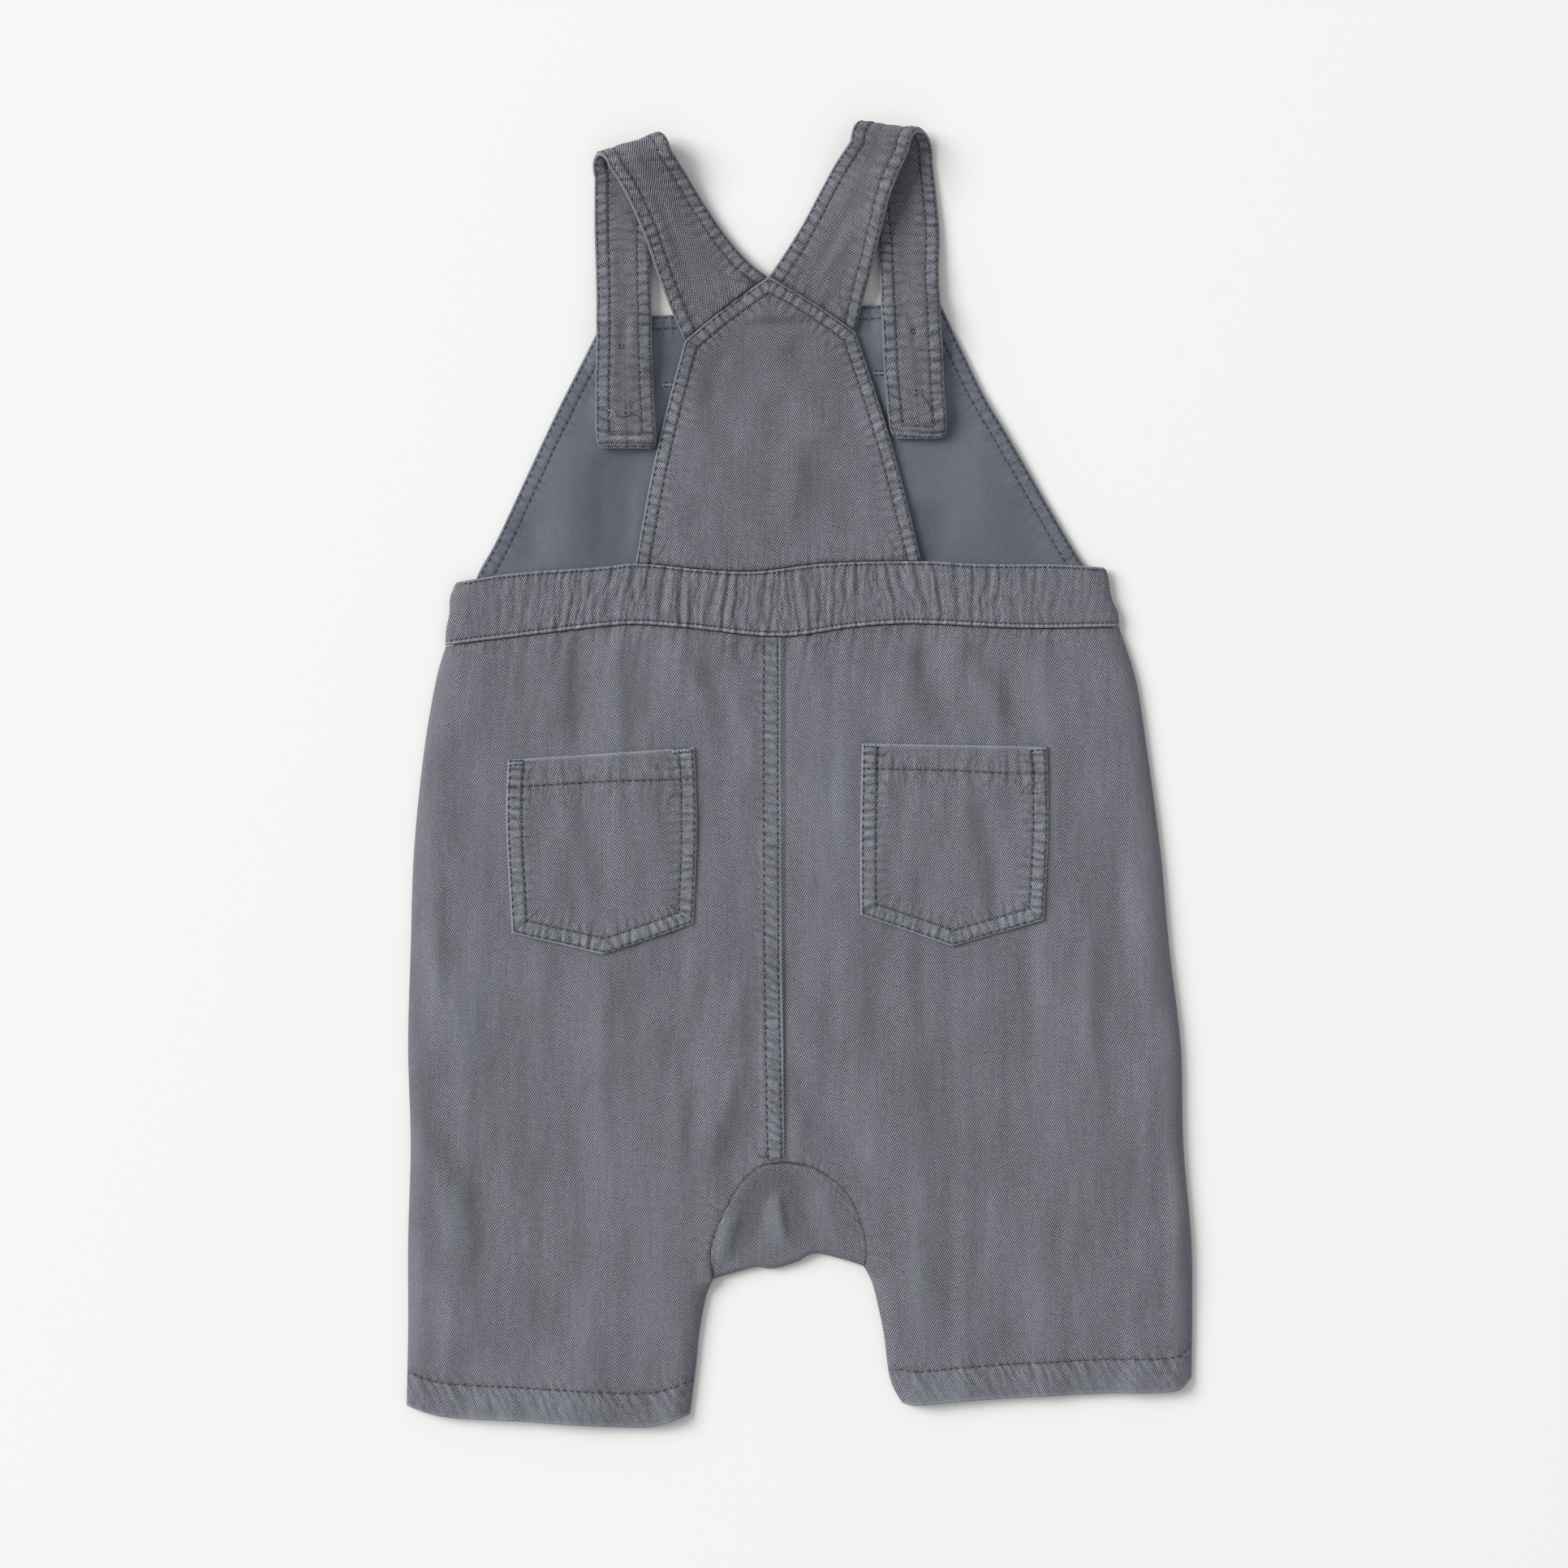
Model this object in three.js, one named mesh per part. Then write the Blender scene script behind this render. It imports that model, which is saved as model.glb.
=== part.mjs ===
// Kids' dungaree shorts laid flat, face down, with the back uppermost and both straps folded over.
// Millimetres. The underside rests at z = 0, +Y runs towards the straps, +X to the wearer's right.
// Every sewn piece is one closed wall of cloth: an outer grid of points over a plain inner one.

import * as THREE from 'three';

// Cloth and seams
const CLOTH = 1.0;
const SEAM_GAP = 0.3;
const BACK_WALL = 1.8;
const BACK_TOP = 5.6;
const BACK_BASE = CLOTH + SEAM_GAP;
const ROLL_RADIUS = 8;
const SEAM_DIP = 0.5;
const FRONT_INSET = 0.4;

// Leg hems
const HEM_SINK = 0.9;
const HEM_EXTRA_WALL = 0.5;
const HEM_FADE = 0.12;

// Felled centre-back seam, a strip raised on the left panel beside the seam line
const STRIP_WIDTH = 7.4;
const STRIP_RISE = 0.5;
const STRIP_FOOT = -150;

// Waistband casing
const WAISTBAND_TOP = 6.0;
const WAISTBAND_WALL = 2.2;
const WAISTBAND_BASE = 2.6;
const GATHERS = 36;
const GATHER_RISE = 0.8;
const GATHER_LEFT = -122;
const GATHER_RIGHT = 104;

// Bibs
const LINING_BASE = CLOTH + SEAM_GAP;
const LINING_TOP = LINING_BASE + CLOTH;
const BACK_BIB_BASE = 3.0;
const BACK_BIB_WALL = 1.8;
const YOKE_BOW = 0.9;
const BIB_SIDE_BOW = 1.6;

// Straps
const STRAP_WALL = 1.8;
const STRAP_LIFT = 0.5;
const STRAP_SEAM_Z = BACK_BIB_BASE + BACK_BIB_WALL / 2;
const STRAP_FAR_Z = LINING_TOP + SEAM_GAP + STRAP_LIFT + STRAP_WALL / 2;
const FOLD_LOW_Z = 1.5;
const FOLD_HIGH_Z = 11.1;
const STRAP_DESCENT = { from: 188, to: 236 };

// Pockets
const POCKET_WALL = 1.0;
const POCKET_HEM_RISE = 0.3;
const POCKET_HEM_DEPTH = 11;

// Gusset
const GUSSET_WALL = 1.1;
const GUSSET_TOP = 5.0;
const GUSSET_ROLL = 2.2;

// Buttons, and the low mound that the bib makes over each
const BUTTON_RADIUS = 7;
const BUTTON_THICKNESS = 2;
const MOUND_RISE = 2.6;
const MOUND_FLAT = 8.5;
const MOUND_END = 17;
const STRAP_MOUND_SPREAD = 3;

const COLOURS = {
  twill: 0x6b6c75,
  lining: 0x63656f,
  button: 0x4a4c55,
};

// A table of rows with named columns
function table(columns, rows) {
  return rows.map((row) => Object.fromEntries(columns.map((name, k) => [name, row[k]])));
}

// Outlines, from the waist down or from the left across
const SIDE_LEFT = table(['x', 'y'], [
  [-139.8, 51.0], [-143.7, 37.0], [-148.5, 8.2], [-152.3, -30.2], [-153.6, -68.6], [-154.6, -107.0],
  [-153.6, -145.4], [-154.6, -183.8], [-154.6, -219.0], [-155.2, -248.8],
]);
const SIDE_RIGHT = table(['x', 'y'], [
  [126.4, 58.4], [133.1, 37.0], [137.6, 8.2], [142.7, -30.2], [146.2, -68.6], [150.7, -107.0],
  [151.7, -145.4], [154.9, -183.8], [155.2, -212.6], [154.9, -237.9],
]);
const INSEAM_LEFT = table(['x', 'y'], [
  [-34.2, -198.9], [-36.8, -205.6], [-39.4, -219.4], [-41.0, -235.0], [-43.2, -252.3],
]);
const INSEAM_RIGHT = table(['x', 'y'], [
  [25.6, -193.8], [28.8, -200.5], [33.0, -218.7], [35.8, -238.2], [40.6, -247.8],
]);
const HEM_LEFT = table(['x', 'y'], [
  [-155.2, -248.8], [-140.8, -253.0], [-113.3, -254.6], [-77.4, -256.8], [-57.9, -256.8], [-43.2, -252.3],
]);
const HEM_RIGHT = table(['x', 'y'], [
  [40.6, -247.8], [45.8, -248.5], [64.6, -246.9], [83.2, -245.6], [121.0, -243.7], [149.1, -242.7],
  [154.9, -237.9],
]);
const CENTRE_SEAM = table(['x', 'y'], [[-7.0, 54.6], [-7.0, -2.4], [-6.7, -78.2], [-5.4, -152.5]]);
const ARCH_LEFT = table(['x', 'y'], [
  [-5.4, -152.5], [-15.4, -154.4], [-24.3, -163.0], [-31.4, -177.1], [-34.8, -187.0], [-34.2, -198.9],
]);
const ARCH_RIGHT = table(['x', 'y'], [
  [-5.4, -152.5], [6.7, -155.4], [18.6, -165.0], [24.6, -178.0], [26.2, -187.4], [25.6, -193.8],
]);
const WAIST = table(['x', 'y'], [
  [-139.8, 51.0], [-119.0, 53.6], [-76.8, 58.7], [-64.0, 59.4], [-44.8, 58.1], [-7.7, 54.6],
  [22.4, 58.4], [44.5, 59.7], [88.6, 57.9], [126.4, 58.4],
]);
const WAISTBAND_UPPER = table(['x', 'y'], [
  [-134.1, 76.6], [-112.6, 79.8], [-76.8, 82.4], [-64.0, 83.7], [-39.7, 81.4], [-18.2, 80.5],
  [10.2, 83.7], [47.7, 84.6], [72.0, 83.4], [102.7, 83.3], [119.6, 82.2],
]);
const WAISTBAND_ENDS = table(['up', 'left', 'right'], [
  [0, -139.8, 126.4], [0.25, -139.5, 125.7], [0.5, -138.2, 123.2], [0.75, -137.9, 122.3],
  [0.95, -136.0, 121.2], [1, -134.9, 120.2],
]);
const BIB_LEFT = table(['x', 'y'], [
  [-76.8, 180.6], [-91.5, 152.2], [-100.8, 133.0], [-118.7, 94.6], [-128.0, 77.0], [-136.5, 51.5],
]);
const BIB_RIGHT = table(['x', 'y'], [
  [55.4, 187.0], [71.7, 152.2], [82.9, 133.0], [105.0, 94.6], [115.4, 77.0], [123.4, 58.3],
]);
const YOKE_LEFT = { x: -45.1, y: 171.4 };
const YOKE_APEX = { x: -12.2, y: 196.6 };
const YOKE_RIGHT = { x: 22.1, y: 174.9 };
const BACK_BIB_FOOT = { left: -64.6, middle: -8.6, right: 48.0 };

// Straps: the two long edges, a and b, at each section; near runs up from the yoke, far hangs down over
// the lining. The fold swings between the last near and the first far section, out to its crest.
// Near lies over far along one edge (az or bz high) and comes down to the table along the other.
const STRAPS = {
  left: {
    near: table(['ax', 'ay', 'bx', 'by', 'az', 'bz'], [
      [-50.2, 182.6, -20.5, 203.0, 5.0, 3.6], [-56.3, 198.6, -29.1, 213.0, 6.6, 3.0],
      [-61.6, 214.0, -37.4, 225.1, 8.6, 3.2], [-68.8, 229.6, -44.4, 236.6, 10.3, 6.2],
      [-75.0, 239.4, -50.6, 246.2, FOLD_HIGH_Z, FOLD_HIGH_Z],
    ]),
    crest: { ax: -80.0, ay: 244.3, bx: -55.4, by: 252.3 },
    far: table(['ax', 'ay', 'bx', 'by'], [
      [-80.9, 236.2, -57.0, 243.0], [-80.9, 216.2, -58.6, 216.2], [-80.3, 197.3, -58.6, 197.3],
      [-80.0, 176.2, -58.2, 176.2], [-80.3, 154.7, -57.6, 154.7], [-80.0, 133.0, -56.4, 132.4],
      [-77.8, 129.0, -58.8, 129.2],
    ]),
  },
  right: {
    near: table(['ax', 'ay', 'bx', 'by', 'az', 'bz'], [
      [-5.5, 206.4, 24.6, 185.8, 3.6, 5.0], [1.3, 217.4, 28.2, 198.9, 3.0, 6.6],
      [7.7, 229.3, 31.7, 213.0, 3.2, 8.6], [14.1, 240.8, 36.2, 230.0, 6.2, 10.3],
      [20.0, 249.4, 43.0, 245.6, FOLD_HIGH_Z, FOLD_HIGH_Z],
    ]),
    crest: { ax: 24.4, ay: 256.8, bx: 48.6, by: 253.8 },
    far: table(['ax', 'ay', 'bx', 'by'], [
      [27.6, 246.0, 52.6, 242.6], [30.6, 216.2, 55.2, 216.2], [31.7, 197.3, 55.0, 197.3],
      [32.6, 176.2, 56.0, 176.2], [33.8, 154.7, 57.0, 154.7], [35.8, 137.0, 58.0, 136.4],
      [38.4, 132.9, 55.6, 132.9],
    ]),
  },
};

const BUTTONS = table(['name', 'x', 'y'], [
  ['button_left_upper', -70.1, 168.8],
  ['button_left_lower', -67.5, 143.8],
  ['button_right_upper', 44.5, 174.9],
  ['button_right_lower', 47.0, 150.6],
]);

const POCKETS = {
  left: {
    left: table(['x', 'y'], [[-114.9, 6.2], [-115.5, -20.6], [-113.3, -62.2]]),
    right: table(['x', 'y'], [[-41.3, 11.0], [-40.3, -20.6], [-41.6, -58.4]]),
    point: { x: -76.2, y: -70.6 },
  },
  right: {
    left: table(['x', 'y'], [[24.6, 12.6], [24.0, -20.6], [24.0, -54.9]]),
    right: table(['x', 'y'], [[97.6, 11.4], [98.2, -20.6], [96.3, -57.1]]),
    point: { x: 60.5, y: -67.4 },
  },
};

// Gusset: its fold line at the crotch, from the left end to the right
const CROTCH_FOLD = table(['x', 'y'], [
  [-34.2, -198.9], [-25.6, -196.3], [-17.0, -194.1], [-10.6, -194.7], [-1.3, -192.2], [6.1, -188.8],
  [17.6, -191.2], [25.6, -193.8],
]);

// Largest soft folds: a line from a to b, the half width, and the height, below zero for a trough
const LEG_FOLDS = table(['ax', 'ay', 'bx', 'by', 'width', 'height'], [
  [-84.8, 50, -86.4, 14, 5, -0.8], [-59.2, 50, -57.6, 24, 5, -0.6], [-72, 50, -70.4, 14, 6, 0.6],
  [-46.4, 48, -35.2, 24, 6, 0.6], [-33.6, 38, -25.6, 8, 5, -0.6], [-124, 46, -136, 12, 9, 0.9],
  [-144, -12, -133, -44, 7, 0.7], [-146, -66, -127, -112, 7, 1.0], [-147, -122, -126, -166, 8, -0.8],
  [-149, -144, -132, -186, 8, 1.0], [-149, -190, -131, -224, 9, 0.7], [-86, -72, -88, -112, 9, -0.5],
  [-56, -72, -62, -94, 8, -0.4], [-38, -88, -46, -120, 8, -0.6], [-27, -118, -35, -146, 6, 0.7],
  [-16, -138, -29, -162, 6, -0.8], [42, 50, 44, 20, 6, 0.6], [50, 46, 59, 20, 5, -0.8],
  [64, 50, 78, 26, 6, 0.6], [75, 50, 90, 26, 6, -0.8], [90, 26, 95, 4, 6, -0.7],
  [-3, -78, 22, -112, 7, -0.6], [0, -122, 20, -146, 6, -0.8], [20, -146, 29, -170, 6, -0.6],
  [140, -162, 111, -190, 11, -0.8], [146, -206, 132, -218, 8, -0.5], [46, -202, 76, -222, 8, 0.6],
  [68, -114, 71, -156, 12, -0.4],
]);
const BIB_FOLDS = table(['ax', 'ay', 'bx', 'by', 'width', 'height'], [
  [-1.6, 166, 10, 148, 5, -0.6], [-10, 145, -6, 132, 5, -0.5], [7, 127, 11, 106, 6, -0.7],
  [20, 114, 18, 97, 5, -0.5], [-38, 106, -43, 95, 5, -0.5], [-2, 124, -2, 98, 5, 0.5],
]);
const GUSSET_FOLDS = table(['ax', 'ay', 'bx', 'by', 'width', 'height'], [
  [-13, -160, -24, -188, 4, -0.6], [-5, -158, 1, -184, 4, -0.7], [-28, -176, -31, -192, 4, 0.5],
  [-9, -168, -6, -186, 5, 0.5],
]);
const LEAST_RELIEF = -0.75;
const MOST_RELIEF = 1.1;

// How far down the side the crotch arch starts and ends, and how far the ends' own curves reach
const ARCH_START = 0.64;
const ARCH_END = 0.835;
const WAIST_FADE = 0.16;
const BIB_WAIST_FADE = 0.4;

// Rows and columns of the grids, as fractions; close together at an edge, a fold or a button
const even = (count) => Array.from({ length: count + 1 }, (_, k) => k / count);
const BIB_ROWS = [...even(9).map((t) => t * 0.34), 0.42, 0.53, 0.65, 0.77, 0.89, 1];
const BIB_COLUMNS = [
  ...even(11).map((t) => t * 0.275), 0.38, 0.49, 0.6, ...even(12).map((t) => 0.7 + 0.3 * t),
];
const BACK_BIB_ROWS = [...even(14).map((t) => t * 0.985), 1];
const BACK_BIB_COLUMNS = [0, 0.012, ...even(10).slice(1, -1), 0.988, 1];
const WAISTBAND_ROWS = [0, 0.05, 0.27, 0.5, 0.73, 0.95, 1];
const POCKET_ROWS = [0, 0.03, ...even(8).slice(1, -1), 0.975, 1];
const POCKET_COLUMNS = [0, 0.018, ...even(8).slice(1, -1), 0.982, 1];
const BACK_LEG_GRID = { seam: 17, arch: 10, inseam: 7, middle: 8 };
const FRONT_LEG_GRID = { seam: 8, arch: 10, inseam: 4, middle: 4 };
const STRAP_GRID = { across: 6, near: 9, fold: 6, far: 16 };
const GUSSET_GRID = { across: 14, back: 4, roll: 5, front: 3 };
const ROLL_STEPS = 4;
const SEAM_STEPS = 3;

const lerp = THREE.MathUtils.lerp;
const clamp = THREE.MathUtils.clamp;
const smooth = (value, from, to) => THREE.MathUtils.smoothstep(value, from, to);

// A smooth curve through a table's x, y rows
function curve(rows) {
  return new THREE.SplineCurve(rows.map(({ x, y }) => new THREE.Vector2(x, y)));
}

// y as a smooth function of x through a table's rows, which run from left to right
function graph(rows) {
  const slope = (k) => {
    const before = rows[Math.max(k - 1, 0)];
    const after = rows[Math.min(k + 1, rows.length - 1)];
    return (after.y - before.y) / (after.x - before.x);
  };
  return (x) => {
    let k = 0;
    while (k < rows.length - 2 && x > rows[k + 1].x) {
      k += 1;
    }
    const span = rows[k + 1].x - rows[k].x;
    const t = clamp((x - rows[k].x) / span, 0, 1);
    const rise = rows[k + 1].y - rows[k].y;
    const bendFrom = slope(k) * span - rise;
    const bendTo = rise - slope(k + 1) * span;
    return rows[k].y + rise * t + t * (1 - t) * (bendFrom * (1 - t) + bendTo * t);
  };
}

const waistY = graph(WAIST);
const frontWaistY = graph([WAIST[0], WAIST.at(-1)]);
const waistbandUpperY = graph(WAISTBAND_UPPER);
const waistbandLeftX = graph(WAISTBAND_ENDS.map(({ up, left }) => ({ x: up, y: left })));
const waistbandRightX = graph(WAISTBAND_ENDS.map(({ up, right }) => ({ x: up, y: right })));

// Height that a table of folds adds at a place
function relief(folds, x, y) {
  let height = 0;
  for (const fold of folds) {
    const alongX = fold.bx - fold.ax;
    const alongY = fold.by - fold.ay;
    const t = ((x - fold.ax) * alongX + (y - fold.ay) * alongY) / (alongX ** 2 + alongY ** 2);
    const near = clamp(t, 0, 1);
    const away = Math.hypot(x - fold.ax - near * alongX, y - fold.ay - near * alongY);
    height += fold.height * Math.exp(-((away / fold.width) ** 2));
  }
  return clamp(height, LEAST_RELIEF, MOST_RELIEF);
}

// Height of the mounds that the bib makes over the buttons
function mound(x, y, spread) {
  const heights = BUTTONS.map((button) => {
    const away = Math.hypot(x - button.x, y - button.y);
    return MOUND_RISE * (1 - smooth(away, MOUND_FLAT + spread, MOUND_END + spread));
  });
  return Math.max(...heights);
}

// A closed wall between two grids of points that have the same rows and columns
function wall(name, outer, inner, colour) {
  const rows = outer.length;
  const columns = outer[0].length;
  const index = [];
  const at = (layer, row, column) => (layer * rows + row) * columns + column;
  const quad = (a, b, c, d) => index.push(a, b, c, a, c, d);
  for (let r = 0; r < rows - 1; r += 1) {
    for (let c = 0; c < columns - 1; c += 1) {
      quad(at(0, r, c), at(0, r + 1, c), at(0, r + 1, c + 1), at(0, r, c + 1));
      quad(at(1, r, c), at(1, r, c + 1), at(1, r + 1, c + 1), at(1, r + 1, c));
    }
  }
  const rim = [];
  for (let r = 0; r < rows - 1; r += 1) {
    rim.push([r, 0]);
  }
  for (let c = 0; c < columns - 1; c += 1) {
    rim.push([rows - 1, c]);
  }
  for (let r = rows - 1; r > 0; r -= 1) {
    rim.push([r, columns - 1]);
  }
  for (let c = columns - 1; c > 0; c -= 1) {
    rim.push([0, c]);
  }
  rim.forEach(([r, c], k) => {
    const [nextR, nextC] = rim[(k + 1) % rim.length];
    quad(at(0, r, c), at(1, r, c), at(1, nextR, nextC), at(0, nextR, nextC));
  });
  const points = [...outer.flat(), ...inner.flat()];
  return solid(name, points, index, colour);
}

// A named mesh from points and triangles, turned so that its faces point out
function solid(name, points, index, colour) {
  let volume = 0;
  for (let k = 0; k < index.length; k += 3) {
    const [a, b, c] = [points[index[k]], points[index[k + 1]], points[index[k + 2]]];
    volume += a.dot(new THREE.Vector3().crossVectors(b, c));
  }
  if (volume < 0) {
    index.reverse();
  }
  const geometry = new THREE.BufferGeometry().setFromPoints(points);
  geometry.setIndex(index);
  geometry.computeVertexNormals();
  const material = new THREE.MeshStandardMaterial({ color: colour, roughness: 0.9, metalness: 0 });
  const mesh = new THREE.Mesh(geometry, material);
  mesh.name = name;
  return mesh;
}

// Places across a row between two edges that may roll over. Each has the inset from its edge, on the
// outer and the inner grid, and how far it has risen from the rim, from 0 to 1.
function across(width, start, end, middle) {
  const rolled = (edge, angle) => ({
    outer: edge.radius * (1 - Math.cos(angle)),
    inner: edge.wall + (edge.radius - edge.wall) * (1 - Math.cos(angle)),
    rise: Math.sin(angle),
  });
  const places = [];
  for (const t of even(start.steps).slice(0, -1)) {
    const place = rolled(start, t * Math.PI / 2);
    places.push({ outer: place.outer, inner: place.inner, rise: place.rise, edge: 'start' });
  }
  for (const t of even(middle)) {
    const inset = lerp(start.radius, width - end.radius, t);
    places.push({ outer: inset, inner: inset, rise: 1, edge: 'start' });
  }
  for (const t of even(end.steps).slice(0, -1).reverse()) {
    const place = rolled(end, t * Math.PI / 2);
    places.push({ outer: width - place.outer, inner: width - place.inner, rise: place.rise, edge: 'end' });
  }
  return places;
}

const LEGS = {
  left: { outward: -1, side: SIDE_LEFT, arch: ARCH_LEFT, inseam: INSEAM_LEFT, hemY: graph(HEM_LEFT) },
  right: { outward: 1, side: SIDE_RIGHT, arch: ARCH_RIGHT, inseam: INSEAM_RIGHT, hemY: graph(HEM_RIGHT) },
};

// Rows of a leg from the waist to the hem: an outer and an inner point, how far down it is, and how far
// the inner edge is open, from 0 along a seam to 1 along the inner leg
function legRows(leg, grid) {
  const side = curve(leg.side);
  const stretches = [
    { steps: even(grid.seam), from: 0, to: ARCH_START, path: curve(CENTRE_SEAM), open: 0 },
    { steps: even(grid.arch).slice(1), from: ARCH_START, to: ARCH_END, path: curve(leg.arch), open: 0 },
    { steps: even(grid.inseam).slice(1), from: ARCH_END, to: 1, path: curve(leg.inseam), open: 1 },
  ];
  const rows = [];
  for (const { steps, from, to, path, open } of stretches) {
    for (const t of steps) {
      const down = lerp(from, to, t);
      const inner = path.getPointAt(t);
      const tangent = path.getTangentAt(t);
      const clear = (1 - open) * SEAM_GAP / 2;
      inner.x += leg.outward * Math.abs(tangent.y) * clear;
      inner.y += Math.abs(tangent.x) * clear;
      rows.push({ side: side.getPointAt(down), inner, down, open });
    }
  }
  return rows;
}

// Moves a point of a leg row so that the first row follows the waist and the last one the hem
function fitToEnds(leg, rows, row, x, y, topY) {
  const waistWeight = Math.max(0, 1 - row.down / WAIST_FADE) ** 2;
  const hemWeight = Math.max(0, (row.down - 1) / (1 - ARCH_END) + 1) ** 2;
  const slant = (x - row.side.x) / (row.inner.x - row.side.x);
  const shift = (end, endY) => {
    const straight = end.side.clone().lerp(end.inner, slant);
    return endY(straight.x) - straight.y;
  };
  const waistShift = shift(rows[0], topY) - SEAM_GAP / 2;
  return y + waistWeight * waistShift + hemWeight * shift(rows.at(-1), leg.hemY);
}

// Outer height of a back leg panel at a place
function legTop(x, y, down) {
  const beside = CENTRE_SEAM[0].x - x;
  const isStrip = beside > -1 && beside < STRIP_WIDTH && y > STRIP_FOOT;
  const strip = isStrip ? STRIP_RISE : 0;
  return BACK_TOP + strip + relief(LEG_FOLDS, x, y) - HEM_SINK * smooth(down, 1 - HEM_FADE, 1);
}

function backLeg(side) {
  const leg = LEGS[side];
  const rows = legRows(leg, BACK_LEG_GRID);
  const outer = [];
  const inner = [];
  for (const row of rows) {
    const width = row.side.distanceTo(row.inner);
    const hem = smooth(row.down, 1 - HEM_FADE, 1);
    const thickness = BACK_WALL + HEM_EXTRA_WALL * hem;
    const ceiling = BACK_TOP - HEM_SINK * hem - thickness;
    const rolled = { radius: ROLL_RADIUS, wall: BACK_WALL, steps: ROLL_STEPS };
    const seam = {
      radius: lerp(STRIP_WIDTH, ROLL_RADIUS, row.open),
      wall: row.open * BACK_WALL,
      steps: SEAM_STEPS,
    };
    const places = across(width, rolled, seam, BACK_LEG_GRID.middle);
    const point = (inset, z) => {
      const at = row.side.clone().lerp(row.inner, inset / width);
      return new THREE.Vector3(at.x, fitToEnds(leg, rows, row, at.x, at.y, waistY), z(at));
    };
    outer.push(places.map((place) => point(place.outer, (at) => {
      const top = legTop(at.x, at.y, row.down);
      const rim = place.edge === 'start' || row.open ? BACK_BASE : top - SEAM_DIP;
      return lerp(rim, top, place.rise);
    })));
    inner.push(places.map((place) => point(place.inner, () => {
      const rim = place.edge === 'start' || row.open ? BACK_BASE : ceiling;
      return lerp(rim, ceiling, place.rise);
    })));
  }
  return wall(`leg_back_${side}`, outer, inner, COLOURS.twill);
}

function frontLeg(side) {
  const leg = LEGS[side];
  const rows = legRows(leg, FRONT_LEG_GRID);
  const layer = (z) => rows.map((row) => {
    const width = row.side.distanceTo(row.inner);
    const inner = row.open * FRONT_INSET;
    return even(FRONT_LEG_GRID.middle).map((t) => {
      const at = row.side.clone().lerp(row.inner, lerp(FRONT_INSET, width - inner, t) / width);
      return new THREE.Vector3(at.x, fitToEnds(leg, rows, row, at.x, at.y, frontWaistY), z);
    });
  });
  return wall(`leg_front_${side}`, layer(CLOTH), layer(0), COLOURS.twill);
}

// Front bib and its lining: rows from the top edge to the waist
function bibLayer(base) {
  const left = curve(BIB_LEFT);
  const right = curve(BIB_RIGHT);
  return BIB_ROWS.map((down) => {
    const a = left.getPointAt(down);
    const b = right.getPointAt(down);
    const weight = Math.max(0, (down - 1) / BIB_WAIST_FADE + 1) ** 2;
    return BIB_COLUMNS.map((t) => {
      const at = a.clone().lerp(b, t);
      const foot = left.getPoint(1).lerp(right.getPoint(1), t);
      const y = at.y + weight * (frontWaistY(foot.x) + SEAM_GAP / 2 - foot.y);
      return new THREE.Vector3(at.x, y, base + mound(at.x, y, 0));
    });
  });
}

function frontBib() {
  const outerCloth = wall('bib_outer', bibLayer(CLOTH), bibLayer(0), COLOURS.twill);
  const lining = wall('bib_lining', bibLayer(LINING_TOP), bibLayer(LINING_BASE), COLOURS.lining);
  return [outerCloth, lining];
}

// Place along the yoke, the back bib's pointed top: 0 at its left corner, 0.5 at the point, 1 at the right
function yoke(t, gap) {
  const isLeft = t <= 0.5;
  const from = isLeft ? YOKE_LEFT : YOKE_APEX;
  const to = isLeft ? YOKE_APEX : YOKE_RIGHT;
  const part = isLeft ? t * 2 : t * 2 - 1;
  const length = Math.hypot(to.x - from.x, to.y - from.y);
  const out = YOKE_BOW * Math.sin(Math.PI * part) + gap;
  const x = lerp(from.x, to.x, part) - out * (to.y - from.y) / length;
  const y = lerp(from.y, to.y, part) + out * (to.x - from.x) / length;
  return new THREE.Vector2(x, y);
}

function backBib() {
  const outer = [];
  const inner = [];
  for (const up of BACK_BIB_ROWS) {
    const points = BACK_BIB_COLUMNS.map((t) => {
      const top = yoke(t, 0);
      const { left, middle, right } = BACK_BIB_FOOT;
      const footX = t <= 0.5 ? lerp(left, middle, t * 2) : lerp(middle, right, t * 2 - 1);
      const footY = waistbandUpperY(footX) + SEAM_GAP / 2;
      const bow = BIB_SIDE_BOW * (t * 2 - 1) * Math.sin(Math.PI * up);
      return new THREE.Vector2(lerp(footX, top.x, up) + bow, lerp(footY, top.y, up));
    });
    const isSide = (t) => t === 0 || t === 1;
    outer.push(points.map((at, c) => {
      const dip = isSide(BACK_BIB_COLUMNS[c]) ? SEAM_DIP : 0;
      const height = BACK_BIB_BASE + BACK_BIB_WALL - dip + relief(BIB_FOLDS, at.x, at.y);
      return new THREE.Vector3(at.x, at.y, height);
    }));
    inner.push(points.map((at) => new THREE.Vector3(at.x, at.y, BACK_BIB_BASE)));
  }
  return wall('bib_back', outer, inner, COLOURS.twill);
}

// Gathers of the waistband: uneven places and heights, lowest towards both sides
function gatherRows() {
  const pitch = (GATHER_RIGHT - GATHER_LEFT) / (GATHERS - 1);
  return even(GATHERS - 1).map((t, k) => {
    const uneven = 0.7 + 0.3 * Math.sin(1.7 * k + 1);
    const fullness = 0.45 + 0.55 * Math.sin(Math.PI * clamp(t + 0.08, 0, 1));
    return {
      x: GATHER_LEFT + pitch * (k + 0.22 * Math.sin(2.4 * k)),
      height: GATHER_RISE * uneven * fullness,
    };
  });
}

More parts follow.
